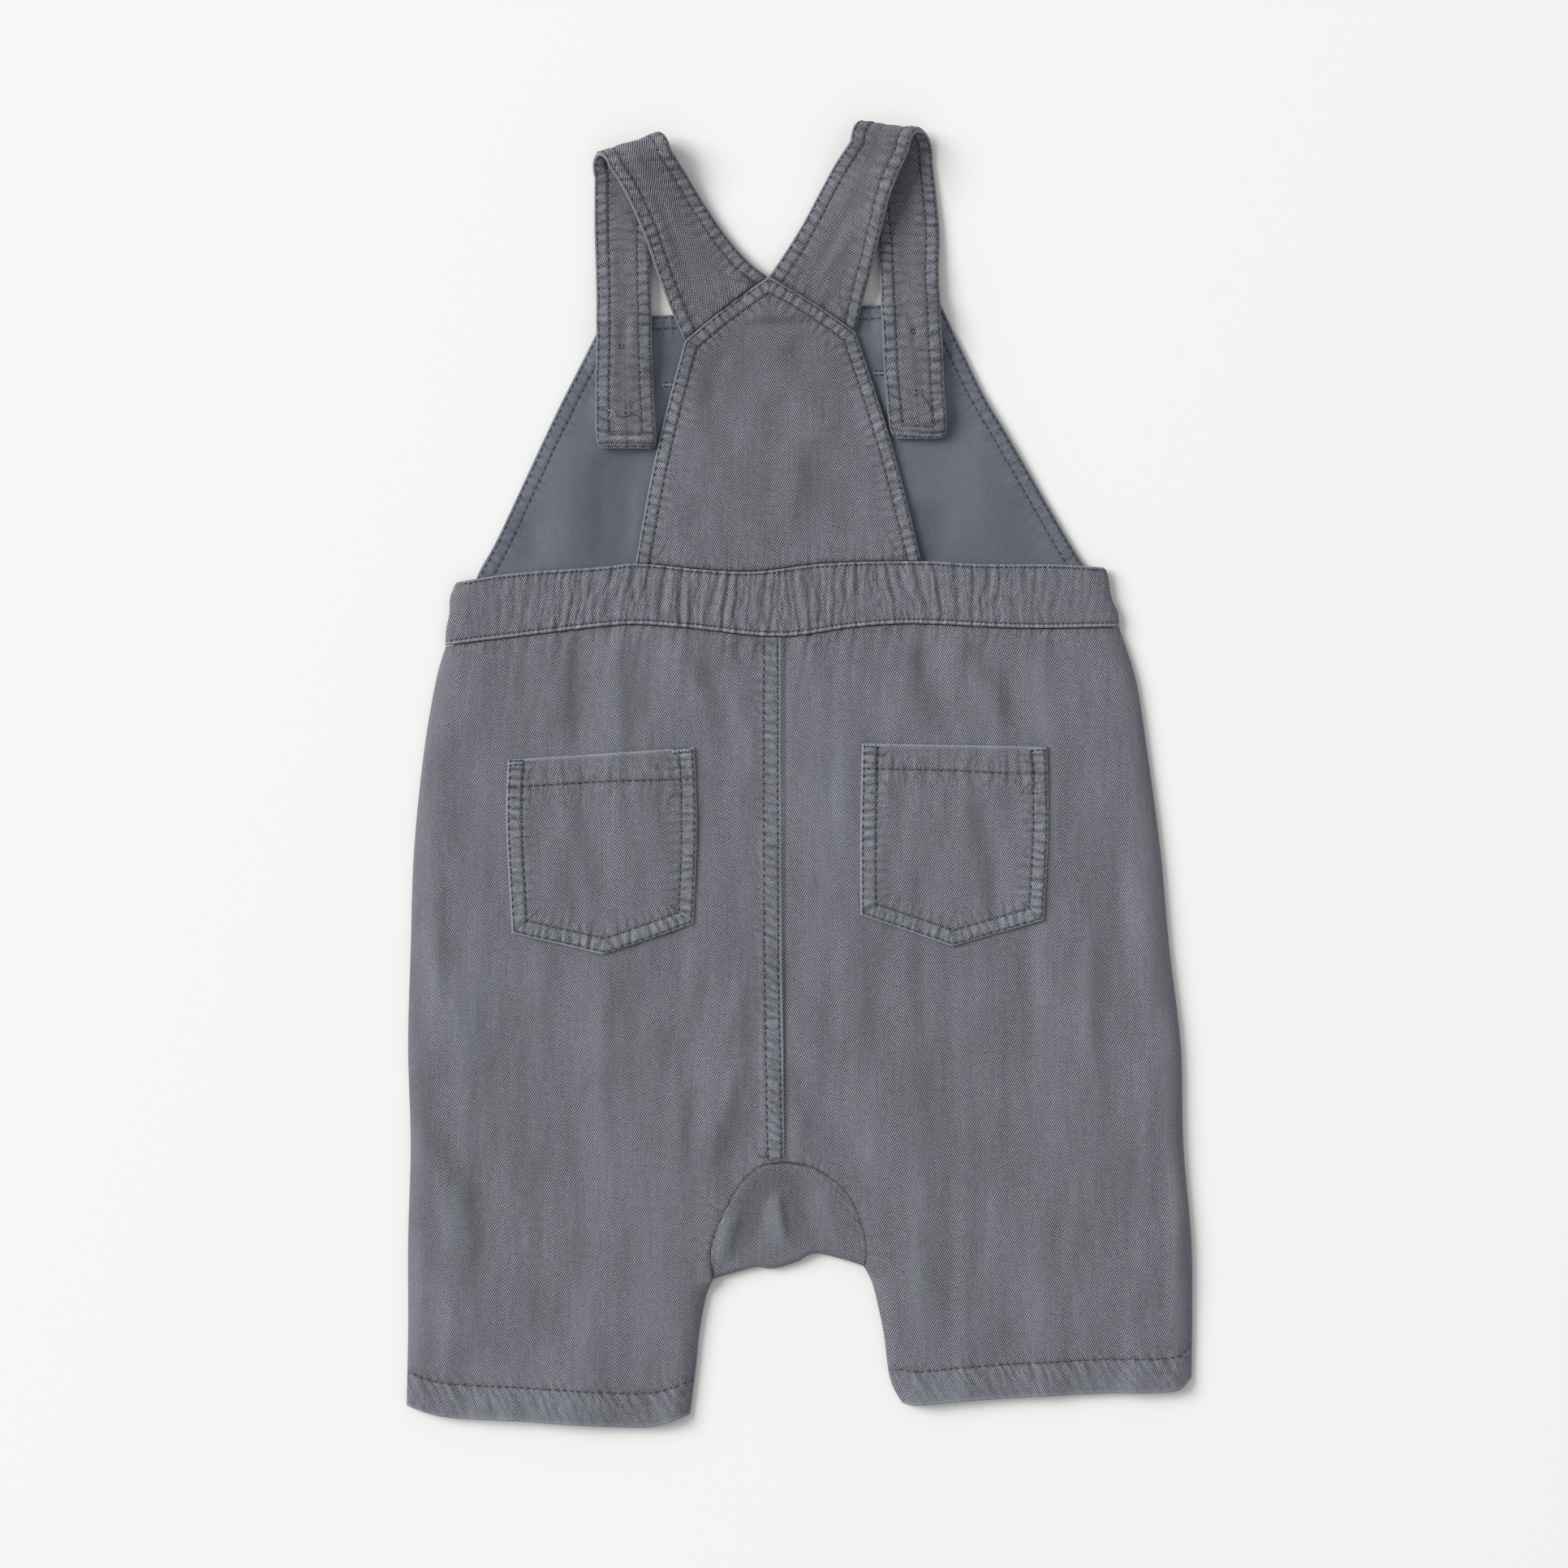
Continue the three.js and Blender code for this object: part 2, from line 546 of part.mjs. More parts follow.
function waistband() {
  const gathers = gatherRows();
  const ridges = [];
  gathers.forEach((gather, k) => {
    ridges.push(gather);
    if (k < gathers.length - 1) {
      ridges.push({ x: (gather.x + gathers[k + 1].x) / 2, height: -gather.height / 2 });
    }
  });
  const height = graph(ridges.map((ridge) => ({ x: ridge.x, y: ridge.height })));
  const outer = [];
  const inner = [];
  for (const up of WAISTBAND_ROWS) {
    const left = waistbandLeftX(up);
    const right = waistbandRightX(up);
    const width = right - left;
    const isEdge = up === 0 || up === 1;
    const rolled = { radius: ROLL_RADIUS, wall: BACK_WALL, steps: ROLL_STEPS };
    const places = across(width, rolled, rolled, 1).filter((place) => place.rise < 1);
    const starts = places.filter((place) => place.edge === 'start');
    const ends = places.filter((place) => place.edge === 'end');
    const middles = ridges.map((ridge) => {
      const inset = ridge.x - left;
      return { outer: inset, inner: inset, rise: 1 };
    });
    const row = [...starts, ...middles, ...ends];
    const point = (inset, z) => {
      const x = left + inset;
      const y = lerp(waistY(x) + SEAM_GAP / 2, waistbandUpperY(x) - SEAM_GAP / 2, up);
      return new THREE.Vector3(x, y, z(x));
    };
    outer.push(row.map((place) => point(place.outer, (x) => {
      const inGathers = x > GATHER_LEFT && x < GATHER_RIGHT;
      const top = WAISTBAND_TOP + (inGathers ? height(x) : 0) - (isEdge ? SEAM_DIP : 0);
      return lerp(WAISTBAND_BASE, top, place.rise);
    })));
    inner.push(row.map((place) => point(place.inner, () => (
      lerp(WAISTBAND_BASE, WAISTBAND_TOP - WAISTBAND_WALL, place.rise)
    ))));
  }
  return wall('waistband_back', outer, inner, COLOURS.twill);
}

// Points across a strap at each section along it, on the middle of its wall
function strapMiddle(side) {
  const strap = STRAPS[side];
  const isLeft = side === 'left';
  const acrossSteps = even(STRAP_GRID.across);
  const seam = acrossSteps.map((t) => {
    const at = yoke(isLeft ? t / 2 : 1 - t / 2, SEAM_GAP);
    const shift = (isLeft ? -SEAM_GAP : SEAM_GAP) * t;
    return new THREE.Vector3(at.x + shift, at.y, STRAP_SEAM_Z);
  });
  if (!isLeft) {
    seam.reverse();
  }
  const section = (row, z) => acrossSteps.map((t) => {
    const x = lerp(row.ax, row.bx, t);
    const y = lerp(row.ay, row.by, t);
    return new THREE.Vector3(x, y, z(t));
  });
  const farHeight = (x, y) => {
    const descent = smooth(y, STRAP_DESCENT.from, STRAP_DESCENT.to);
    return lerp(STRAP_FAR_Z, FOLD_LOW_Z, descent) + mound(x, y, STRAP_MOUND_SPREAD);
  };
  const near = [seam, ...strap.near.map((row) => section(row, (t) => lerp(row.az, row.bz, t)))];
  const far = strap.far.map((row) => section(row, () => 0));
  const alongNear = resample(near, STRAP_GRID.near);
  const alongFar = resample(far, STRAP_GRID.far);
  alongFar.flat().forEach((point) => point.setZ(farHeight(point.x, point.y)));
  const from = alongNear.at(-1);
  const to = alongFar[0];
  const crest = section(strap.crest, () => 0);
  const fold = even(STRAP_GRID.fold).slice(1, -1).map((t) => from.map((start, c) => {
    const end = to[c];
    const angle = t * Math.PI;
    const middle = start.clone().add(end).multiplyScalar(0.5);
    const swing = (1 - Math.cos(angle)) / 2;
    const out = Math.sin(angle);
    return new THREE.Vector3(
      lerp(start.x, end.x, swing) + (crest[c].x - middle.x) * out,
      lerp(start.y, end.y, swing) + (crest[c].y - middle.y) * out,
      lerp(start.z, end.z, swing),
    );
  }));
  return [...alongNear, ...fold, ...alongFar];
}

// Sections set evenly along smooth curves through given ones
function resample(sections, count) {
  const lines = sections[0].map((_, c) => new THREE.CatmullRomCurve3(sections.map((points) => points[c])));
  return even(count).map((t) => lines.map((line) => line.getPoint(t)));
}

function strap(side) {
  const middle = strapMiddle(side);
  const last = { row: middle.length - 1, column: middle[0].length - 1 };
  const offset = (sign) => middle.map((points, r) => points.map((point, c) => {
    const along = middle[Math.min(r + 1, last.row)][c].clone().sub(middle[Math.max(r - 1, 0)][c]);
    const sideways = points[Math.min(c + 1, last.column)].clone().sub(points[Math.max(c - 1, 0)]);
    const normal = new THREE.Vector3().crossVectors(along, sideways).normalize();
    const isEdge = c === 0 || c === last.column || r === last.row;
    const half = STRAP_WALL / 2 - (isEdge ? SEAM_DIP / 2 : 0);
    return point.clone().addScaledVector(normal, sign * half);
  }));
  return wall(`strap_${side}`, offset(1), offset(-1), COLOURS.twill);
}

function pocket(side) {
  const shape = POCKETS[side];
  const left = curve(shape.left);
  const right = curve(shape.right);
  const foot = { left: left.getPoint(1), right: right.getPoint(1) };
  const bottomY = (t) => {
    const isLeft = t <= 0.5;
    const corner = isLeft ? foot.left : foot.right;
    return lerp(shape.point.y, corner.y, Math.abs(t * 2 - 1));
  };
  const places = POCKET_ROWS.map((down) => {
    const a = left.getPoint(down);
    const b = right.getPoint(down);
    return POCKET_COLUMNS.map((t) => {
      const at = a.clone().lerp(b, t);
      const straight = lerp(foot.left.y, foot.right.y, t);
      at.y += down ** 3 * (bottomY(t) - straight);
      return at;
    });
  });
  const isEdge = (t) => t === 0 || t === 1;
  const layer = (top) => places.map((row, r) => row.map((at, c) => {
    const isHem = row[0].y > left.getPoint(0).y - POCKET_HEM_DEPTH;
    const hem = isHem ? POCKET_HEM_RISE : 0;
    const dip = isEdge(POCKET_ROWS[r]) || isEdge(POCKET_COLUMNS[c]) ? SEAM_DIP : 0;
    const base = legTop(at.x, at.y, 0) + SEAM_GAP;
    return new THREE.Vector3(at.x, at.y, top ? base + POCKET_WALL + hem - dip : base);
  }));
  return wall(`pocket_${side}`, layer(true), layer(false), COLOURS.twill);
}

// The gusset is folded at the crotch. Each section runs from the back arch seam down to the fold line,
// rolls under, and runs back along the surface to the front arch seam.
const GUSSET_REACH = 0.9;

function gussetSections() {
  const foldLine = curve(CROTCH_FOLD);
  return even(GUSSET_GRID.across).map((t) => {
    const isLeft = t < 0.5;
    const path = curve(isLeft ? ARCH_LEFT : ARCH_RIGHT);
    const along = Math.abs(t * 2 - 1) * GUSSET_REACH;
    const seam = path.getPointAt(along);
    const tangent = path.getTangentAt(along);
    const inward = isLeft ? 1 : -1;
    const arch = new THREE.Vector2(
      seam.x + inward * Math.abs(tangent.y) * SEAM_GAP,
      seam.y - Math.abs(tangent.x) * SEAM_GAP,
    );
    const crotch = foldLine.getPointAt(t);
    crotch.x = clamp(crotch.x, ARCH_LEFT.at(-1).x + SEAM_GAP, ARCH_RIGHT.at(-1).x - SEAM_GAP);
    return { arch, crotch };
  });
}

// One side of the gusset's wall along a section: back layer, roll and front layer
function gussetLine({ arch, crotch }, radius, backZ, frontZ) {
  const length = arch.distanceTo(crotch);
  const flat = length - GUSSET_ROLL;
  const points = [];
  const place = (inset, z) => {
    const at = arch.clone().lerp(crotch, inset / length);
    points.push(new THREE.Vector3(at.x, at.y, z(at)));
  };
  for (const t of even(GUSSET_GRID.back)) {
    place(flat * t, (at) => backZ(at, t));
  }
  for (const t of even(GUSSET_GRID.roll).slice(1, -1)) {
    const angle = Math.PI * t;
    place(flat + radius * Math.sin(angle), () => GUSSET_ROLL + radius * Math.cos(angle));
  }
  for (const t of even(GUSSET_GRID.front).reverse()) {
    place(flat * t, () => frontZ);
  }
  return points;
}

function gusset() {
  const sections = gussetSections();
  const plain = (t) => lerp(GUSSET_TOP, GUSSET_ROLL * 2, smooth(t, 0, 1));
  const folded = (at, t) => plain(t) + relief(GUSSET_FOLDS, at.x, at.y) * (1 - t ** 4);
  const outer = sections.map((section) => gussetLine(section, GUSSET_ROLL, folded, 0));
  const inner = sections.map((section) => (
    gussetLine(section, GUSSET_ROLL - GUSSET_WALL, (at, t) => plain(t) - GUSSET_WALL, GUSSET_WALL)
  ));
  return wall('gusset', outer, inner, COLOURS.twill);
}

function button({ name, x, y }) {
  const rim = BUTTON_RADIUS;
  const profile = [
    [0, 0.5], [rim - 2, 0.5], [rim - 1.2, 0], [rim, 0.5], [rim, BUTTON_THICKNESS - 0.5],
    [rim - 0.6, BUTTON_THICKNESS], [0, BUTTON_THICKNESS],
  ].map(([radius, z]) => new THREE.Vector2(radius, z));
  const geometry = new THREE.LatheGeometry(profile, 16);
  geometry.rotateX(Math.PI / 2);
  const material = new THREE.MeshStandardMaterial({ color: COLOURS.button, roughness: 0.5, metalness: 0 });
  const mesh = new THREE.Mesh(geometry, material);
  mesh.name = name;
  mesh.position.set(x, y, 0);
  return mesh;
}

const dungarees = new THREE.Group();
dungarees.add(...frontBib(), backBib(), waistband(), strap('left'), strap('right'));
for (const side of ['left', 'right']) {
  dungarees.add(frontLeg(side), backLeg(side), pocket(side));
}
dungarees.add(gusset(), ...BUTTONS.map(button));

export default dungarees;
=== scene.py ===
"""Kids' dungaree shorts laid flat, face down: the cloth, its sewing and its weave.

Metres, in the frame of the solids: the underside rests at z = 0, +Y runs towards the straps and
+X to the wearer's right. Each cloth piece is a fine wall on the form of the solid it stands for.
"""
import math

import bpy
import numpy as np
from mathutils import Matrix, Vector


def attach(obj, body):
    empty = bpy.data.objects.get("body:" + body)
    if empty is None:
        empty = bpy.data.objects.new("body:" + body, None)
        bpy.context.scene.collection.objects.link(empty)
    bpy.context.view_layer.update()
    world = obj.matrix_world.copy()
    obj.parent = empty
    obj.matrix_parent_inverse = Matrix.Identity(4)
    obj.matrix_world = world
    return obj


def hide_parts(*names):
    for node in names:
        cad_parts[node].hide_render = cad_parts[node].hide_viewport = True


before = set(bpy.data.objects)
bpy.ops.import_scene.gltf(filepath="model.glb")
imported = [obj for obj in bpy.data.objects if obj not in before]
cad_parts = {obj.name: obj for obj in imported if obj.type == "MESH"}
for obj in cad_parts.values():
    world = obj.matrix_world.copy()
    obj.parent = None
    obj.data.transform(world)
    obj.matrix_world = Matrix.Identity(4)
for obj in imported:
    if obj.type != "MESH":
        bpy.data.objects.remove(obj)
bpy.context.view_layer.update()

# Cloth and seams
CLOTH = 0.0010
SEAM_GAP = 0.0003
SEAM_OVERLAP = 0.0001
BACK_WALL = 0.0018
BACK_TOP = 0.0056
BACK_BASE = CLOTH + SEAM_GAP
ROLL_RADIUS = 0.008
SEAM_DIP = 0.0005
FRONT_INSET = 0.0004
EDGE_ROW = 0.0010
INNER_ROW = 0.0053
POCKET_INNER_ROW = 0.0061

# Double-stitched edges: heights of the puckers between the rows, of the pulls past them and of the
# whole band, and how its folded edge rounds off
PUCKER_RISE = 0.00050
PULL_RISE = 0.00040
BAND_RISE = 0.00026
EDGE_ROUNDING = 0.00055
EDGE_RADIUS = 0.0007

# Leg hems
HEM_SINK = 0.0009
HEM_EXTRA_WALL = 0.0005
HEM_FADE = 0.12
HEM_ROW_ABOVE = 0.0134

# Felled centre-back seam
STRIP_WIDTH = 0.0074
STRIP_RISE = 0.0005
STRIP_FOOT = -0.150
STRIP_ROWS = (0.0016, 0.0071)

# How far gathers, hem ropes and the felled seam's puckers slant, and how deep a plain seam's groove is
GATHER_LEAN = 0.2
ROPE_LEAN = 0.55
CROSS_LEAN = 0.35
GROOVE_DEPTH = 0.0003

# Waistband casing
WAISTBAND_TOP = 0.0060
WAISTBAND_WALL = 0.0022
WAISTBAND_BASE = 0.0026
GATHERS = 36
GATHER_RISE = 0.0008
GATHER_LEFT = -0.122
GATHER_RIGHT = 0.104
WAISTBAND_LOW_ROW = 0.0019
WAISTBAND_HIGH_ROW = 0.0013
WAISTBAND_EDGE_REACH = 0.0065
WAISTBAND_GATHER_RISE = 0.00050

# Bibs
LINING_BASE = CLOTH + SEAM_GAP
LINING_TOP = LINING_BASE + CLOTH
BACK_BIB_BASE = 0.0030
BACK_BIB_WALL = 0.0018
YOKE_BOW = 0.0009
BIB_SIDE_BOW = 0.0016

# Straps
STRAP_WALL = 0.0018
STRAP_LIFT = 0.0005
STRAP_SEAM_Z = BACK_BIB_BASE + BACK_BIB_WALL / 2
STRAP_FAR_Z = LINING_TOP + SEAM_GAP + STRAP_LIFT + STRAP_WALL / 2
FOLD_LOW_Z = 0.0015
FOLD_HIGH_Z = 0.0111
STRAP_MOUND_SPREAD = 0.003
STRAP_DESCENT_FROM = 0.188
STRAP_DESCENT_TO = 0.236

# Pockets
POCKET_WALL = 0.0010
POCKET_HEM_RISE = 0.0003

# Gusset
GUSSET_WALL = 0.0011
GUSSET_TOP = 0.0050
GUSSET_ROLL = 0.0022
GUSSET_REACH = 0.9

# Buttons, and the low mound that the bib makes over each
MOUND_RISE = 0.0026
MOUND_FLAT = 0.0085
MOUND_END = 0.017
BUTTON_SIDES = 48
BUTTON_WELL = 0.0005
WELL_RADIUS = 0.0046
WELL_RINGS = 13
HOLE_SHIFT = 0.0012
HOLE_DEPTH = 0.0011

# A button's rim and back, radius and height, from the well outwards and round
BUTTON_RIM = (
    (0.0053, 0.00012), (0.0060, 0.0), (0.0066, 0.0002), (0.0070, 0.0007), (0.0070, 0.0014),
    (0.0064, 0.0020), (0.0035, 0.0020), (0.0008, 0.0020),
)

# Thread: stitches, loose ends, how steeply a stitch may climb, and the furrow that a row lies in
STITCH_PITCH = 0.0028
STITCH_LENGTH = 0.0022
WAIST_STITCH_PITCH = 0.0019
THREAD_RADIUS = 0.00024
THREAD_SIDES = 5
TAIL_RADIUS = 0.00013
TAIL_RINGS = 14
STEEPEST = 0.7
ROW_HALF_WIDTH = 0.0005
ROW_DEPTH = 0.00022

# Outlines, x and y, from the waist down or from the left across
SIDE_LEFT = (
    (-0.1398, 0.0510), (-0.1437, 0.0370), (-0.1485, 0.0082), (-0.1523, -0.0302), (-0.1536, -0.0686),
    (-0.1546, -0.1070), (-0.1536, -0.1454), (-0.1546, -0.1838), (-0.1546, -0.2190), (-0.1552, -0.2488),
)
SIDE_RIGHT = (
    (0.1264, 0.0584), (0.1331, 0.0370), (0.1376, 0.0082), (0.1427, -0.0302), (0.1462, -0.0686),
    (0.1507, -0.1070), (0.1517, -0.1454), (0.1549, -0.1838), (0.1552, -0.2126), (0.1549, -0.2379),
)
INSEAM_LEFT = (
    (-0.0342, -0.1989), (-0.0368, -0.2056), (-0.0394, -0.2194), (-0.0410, -0.2350), (-0.0432, -0.2523),
)
INSEAM_RIGHT = (
    (0.0256, -0.1938), (0.0288, -0.2005), (0.0330, -0.2187), (0.0358, -0.2382), (0.0406, -0.2478),
)
HEM_LEFT = (
    (-0.1552, -0.2488), (-0.1408, -0.2530), (-0.1133, -0.2546), (-0.0774, -0.2568), (-0.0579, -0.2568),
    (-0.0432, -0.2523),
)
HEM_RIGHT = (
    (0.0406, -0.2478), (0.0458, -0.2485), (0.0646, -0.2469), (0.0832, -0.2456), (0.1210, -0.2437),
    (0.1491, -0.2427), (0.1549, -0.2379),
)
CENTRE_SEAM = ((-0.0070, 0.0546), (-0.0070, -0.0024), (-0.0067, -0.0782), (-0.0054, -0.1525))
ARCH_LEFT = (
    (-0.0054, -0.1525), (-0.0154, -0.1544), (-0.0243, -0.1630), (-0.0314, -0.1771), (-0.0348, -0.1870),
    (-0.0342, -0.1989),
)
ARCH_RIGHT = (
    (-0.0054, -0.1525), (0.0067, -0.1554), (0.0186, -0.1650), (0.0246, -0.1780), (0.0262, -0.1874),
    (0.0256, -0.1938),
)
WAIST = (
    (-0.1398, 0.0510), (-0.1190, 0.0536), (-0.0768, 0.0587), (-0.0640, 0.0594), (-0.0448, 0.0581),
    (-0.0077, 0.0546), (0.0224, 0.0584), (0.0445, 0.0597), (0.0886, 0.0579), (0.1264, 0.0584),
)
WAISTBAND_UPPER = (
    (-0.1341, 0.0766), (-0.1126, 0.0798), (-0.0768, 0.0824), (-0.0640, 0.0837), (-0.0397, 0.0814),
    (-0.0182, 0.0805), (0.0102, 0.0837), (0.0477, 0.0846), (0.0720, 0.0834), (0.1027, 0.0833),
    (0.1196, 0.0822),
)

# Ends of the waistband: share of its height, and x
WAISTBAND_LEFT = (
    (0, -0.1398), (0.25, -0.1395), (0.5, -0.1382), (0.75, -0.1379), (0.95, -0.1360), (1, -0.1349),
)
WAISTBAND_RIGHT = (
    (0, 0.1264), (0.25, 0.1257), (0.5, 0.1232), (0.75, 0.1223), (0.95, 0.1212), (1, 0.1202),
)

# Sides of the front bib from the top down, and the corners of the back bib
BIB_LEFT = (
    (-0.0768, 0.1806), (-0.0915, 0.1522), (-0.1008, 0.1330), (-0.1187, 0.0946), (-0.1280, 0.0770),
    (-0.1365, 0.0515),
)
BIB_RIGHT = (
    (0.0554, 0.1870), (0.0717, 0.1522), (0.0829, 0.1330), (0.1050, 0.0946), (0.1154, 0.0770),
    (0.1234, 0.0583),
)
YOKE_LEFT = (-0.0451, 0.1714)
YOKE_APEX = (-0.0122, 0.1966)
YOKE_RIGHT = (0.0221, 0.1749)
BACK_BIB_FOOT = (-0.0646, -0.0086, 0.0480)

# Straps: the two long edges, a and b, at each section (ax, ay, bx, by), and the near run's heights at
# them. Near runs up from the yoke, far hangs down over the lining, and the fold swings out to its crest.
STRAPS = {
    "left": {
        "near": (
            (-0.0502, 0.1826, -0.0205, 0.2030, 0.0050, 0.0036),
            (-0.0563, 0.1986, -0.0291, 0.2130, 0.0066, 0.0030),
            (-0.0616, 0.2140, -0.0374, 0.2251, 0.0086, 0.0032),
            (-0.0688, 0.2296, -0.0444, 0.2366, 0.0103, 0.0062),
            (-0.0750, 0.2394, -0.0506, 0.2462, FOLD_HIGH_Z, FOLD_HIGH_Z),
        ),
        "crest": (-0.0800, 0.2443, -0.0554, 0.2523),
        "far": (
            (-0.0809, 0.2362, -0.0570, 0.2430), (-0.0809, 0.2162, -0.0586, 0.2162),
            (-0.0803, 0.1973, -0.0586, 0.1973), (-0.0800, 0.1762, -0.0582, 0.1762),
            (-0.0803, 0.1547, -0.0576, 0.1547), (-0.0800, 0.1330, -0.0566, 0.1330),
            (-0.0778, 0.1290, -0.0588, 0.1290),
        ),
    },
    "right": {
        "near": (
            (-0.0055, 0.2064, 0.0246, 0.1858, 0.0036, 0.0050),
            (0.0013, 0.2174, 0.0282, 0.1989, 0.0030, 0.0066),
            (0.0077, 0.2293, 0.0317, 0.2130, 0.0032, 0.0086),
            (0.0141, 0.2408, 0.0362, 0.2300, 0.0062, 0.0103),
            (0.0200, 0.2494, 0.0430, 0.2456, FOLD_HIGH_Z, FOLD_HIGH_Z),
        ),
        "crest": (0.0244, 0.2568, 0.0486, 0.2538),
        "far": (
            (0.0276, 0.2460, 0.0526, 0.2426), (0.0306, 0.2162, 0.0552, 0.2162),
            (0.0317, 0.1973, 0.0550, 0.1973), (0.0326, 0.1762, 0.0560, 0.1762),
            (0.0338, 0.1547, 0.0570, 0.1547), (0.0358, 0.1370, 0.0580, 0.1364),
            (0.0384, 0.1329, 0.0556, 0.1329),
        ),
    },
}

# Middles of the buttons
BUTTONS = {
    "button_left_upper": (-0.0701, 0.1688),
    "button_left_lower": (-0.0675, 0.1438),
    "button_right_upper": (0.0445, 0.1749),
    "button_right_lower": (0.0470, 0.1506),
}

# Pockets: their sides from the top down, the point, the hem's row of stitches, and the bar tacks
# (x from, x to, y from, y to)
POCKETS = {
    "left": {
        "left": ((-0.1149, 0.0062), (-0.1155, -0.0206), (-0.1133, -0.0622)),
        "right": ((-0.0413, 0.0110), (-0.0403, -0.0206), (-0.0416, -0.0584)),
        "point": (-0.0762, -0.0706),
        "hem_row": ((-0.1133, -0.0046), (-0.0768, -0.0024), (-0.0432, -0.0014)),
        "tacks": ((-0.1148, -0.1088, 0.0046, 0.0052), (-0.0502, -0.0432, 0.0094, 0.0100)),
    },
    "right": {
        "left": ((0.0246, 0.0126), (0.0240, -0.0206), (0.0240, -0.0549)),
        "right": ((0.0976, 0.0114), (0.0982, -0.0206), (0.0963, -0.0571)),
        "point": (0.0605, -0.0674),
        "hem_row": ((0.0256, 0.0027), (0.0566, 0.0021), (0.0829, 0.0008)),
        "tacks": ((0.0259, 0.0317, 0.0123, 0.0118), (0.0906, 0.0970, 0.0107, 0.0107)),
    },
}

# Rows of hem stitches, x from and to, and the bar tacks of the lining, x from, x to and y
HEM_STITCHES = {"left": (-0.1530, -0.0440), "right": (0.0385, 0.1530)}
BIB_TACKS = ((-0.0540, -0.0490, 0.1543), (0.0292, 0.0335, 0.1590))

CROTCH_FOLD = (
    (-0.0342, -0.1989), (-0.0256, -0.1963), (-0.0170, -0.1941), (-0.0106, -0.1947),
    (-0.0013, -0.1922), (0.0061, -0.1888), (0.0176, -0.1912), (0.0256, -0.1938),
)

# Soft folds: a line from a to b (ax, ay, bx, by), the half width, and the height, below zero for a
# trough. The first rows of each table are in the solids too.
LEG_FOLDS = (
    (-0.0848, 0.050, -0.0864, 0.014, 0.005, -0.0008), (-0.0592, 0.050, -0.0576, 0.024, 0.005, -0.0006),
    (-0.0720, 0.050, -0.0704, 0.014, 0.006, 0.0006), (-0.0464, 0.048, -0.0352, 0.024, 0.006, 0.0006),
    (-0.0336, 0.038, -0.0256, 0.008, 0.005, -0.0006), (-0.1240, 0.046, -0.1360, 0.012, 0.009, 0.0009),
    (-0.1440, -0.012, -0.1330, -0.044, 0.007, 0.0007), (-0.1460, -0.066, -0.1270, -0.112, 0.007, 0.0010),
    (-0.1470, -0.122, -0.1260, -0.166, 0.008, -0.0008), (-0.1490, -0.144, -0.1320, -0.186, 0.008, 0.0010),
    (-0.1490, -0.190, -0.1310, -0.224, 0.009, 0.0007), (-0.0860, -0.072, -0.0880, -0.112, 0.009, -0.0005),
    (-0.0560, -0.072, -0.0620, -0.094, 0.008, -0.0004), (-0.0380, -0.088, -0.0460, -0.120, 0.008, -0.0006),
    (-0.0270, -0.118, -0.0350, -0.146, 0.006, 0.0007), (-0.0160, -0.138, -0.0290, -0.162, 0.006, -0.0008),
    (0.0420, 0.050, 0.0440, 0.020, 0.006, 0.0006), (0.0500, 0.046, 0.0590, 0.020, 0.005, -0.0008),
    (0.0640, 0.050, 0.0780, 0.026, 0.006, 0.0006), (0.0750, 0.050, 0.0900, 0.026, 0.006, -0.0008),
    (0.0900, 0.026, 0.0950, 0.004, 0.006, -0.0007), (-0.0030, -0.078, 0.0220, -0.112, 0.007, -0.0006),
    (0.0000, -0.122, 0.0200, -0.146, 0.006, -0.0008), (0.0200, -0.146, 0.0290, -0.170, 0.006, -0.0006),
    (0.1400, -0.162, 0.1110, -0.190, 0.011, -0.0008), (0.1460, -0.206, 0.1320, -0.218, 0.008, -0.0005),
    (0.0460, -0.202, 0.0760, -0.222, 0.008, 0.0006), (0.0680, -0.114, 0.0710, -0.156, 0.012, -0.0004),
)
LEG_CREASES = (
    (-0.0256, 0.050, -0.0176, 0.040, 0.0030, -0.0003), (0.0128, 0.053, 0.0144, 0.037, 0.0030, -0.0004),
    (-0.0944, 0.053, -0.1024, 0.030, 0.0040, -0.0002), (-0.1216, -0.171, -0.1136, -0.235, 0.0100, -0.0003),
    (-0.0240, -0.088, -0.0336, -0.120, 0.0060, 0.0004), (-0.0256, -0.120, -0.0336, -0.145, 0.0040, 0.0003),
    (0.1330, -0.040, 0.1390, -0.090, 0.0060, 0.0004), (0.1270, -0.046, 0.1360, -0.110, 0.0050, -0.0003),
    (0.0300, -0.074, 0.0330, -0.108, 0.0050, -0.0003), (0.0480, -0.072, 0.0500, -0.100, 0.0040, -0.0002),
    (0.0900, -0.064, 0.0960, -0.100, 0.0060, -0.0003), (0.1100, 0.030, 0.1200, -0.010, 0.0070, 0.0004),
)
POCKET_FOLDS = (
    (-0.0960, -0.016, -0.0864, -0.052, 0.0040, -0.0005), (-0.0900, -0.020, -0.0810, -0.054, 0.0040, 0.0004),
    (-0.0980, 0.000, -0.0970, -0.016, 0.0030, -0.0003), (-0.0570, 0.000, -0.0530, -0.018, 0.0030, -0.0003),
    (0.0736, -0.014, 0.0784, -0.053, 0.0045, -0.0006), (0.0660, -0.014, 0.0700, -0.052, 0.0045, 0.0004),
    (0.0560, -0.024, 0.0530, -0.056, 0.0040, -0.0003), (0.0400, -0.004, 0.0410, -0.030, 0.0035, -0.0003),
)
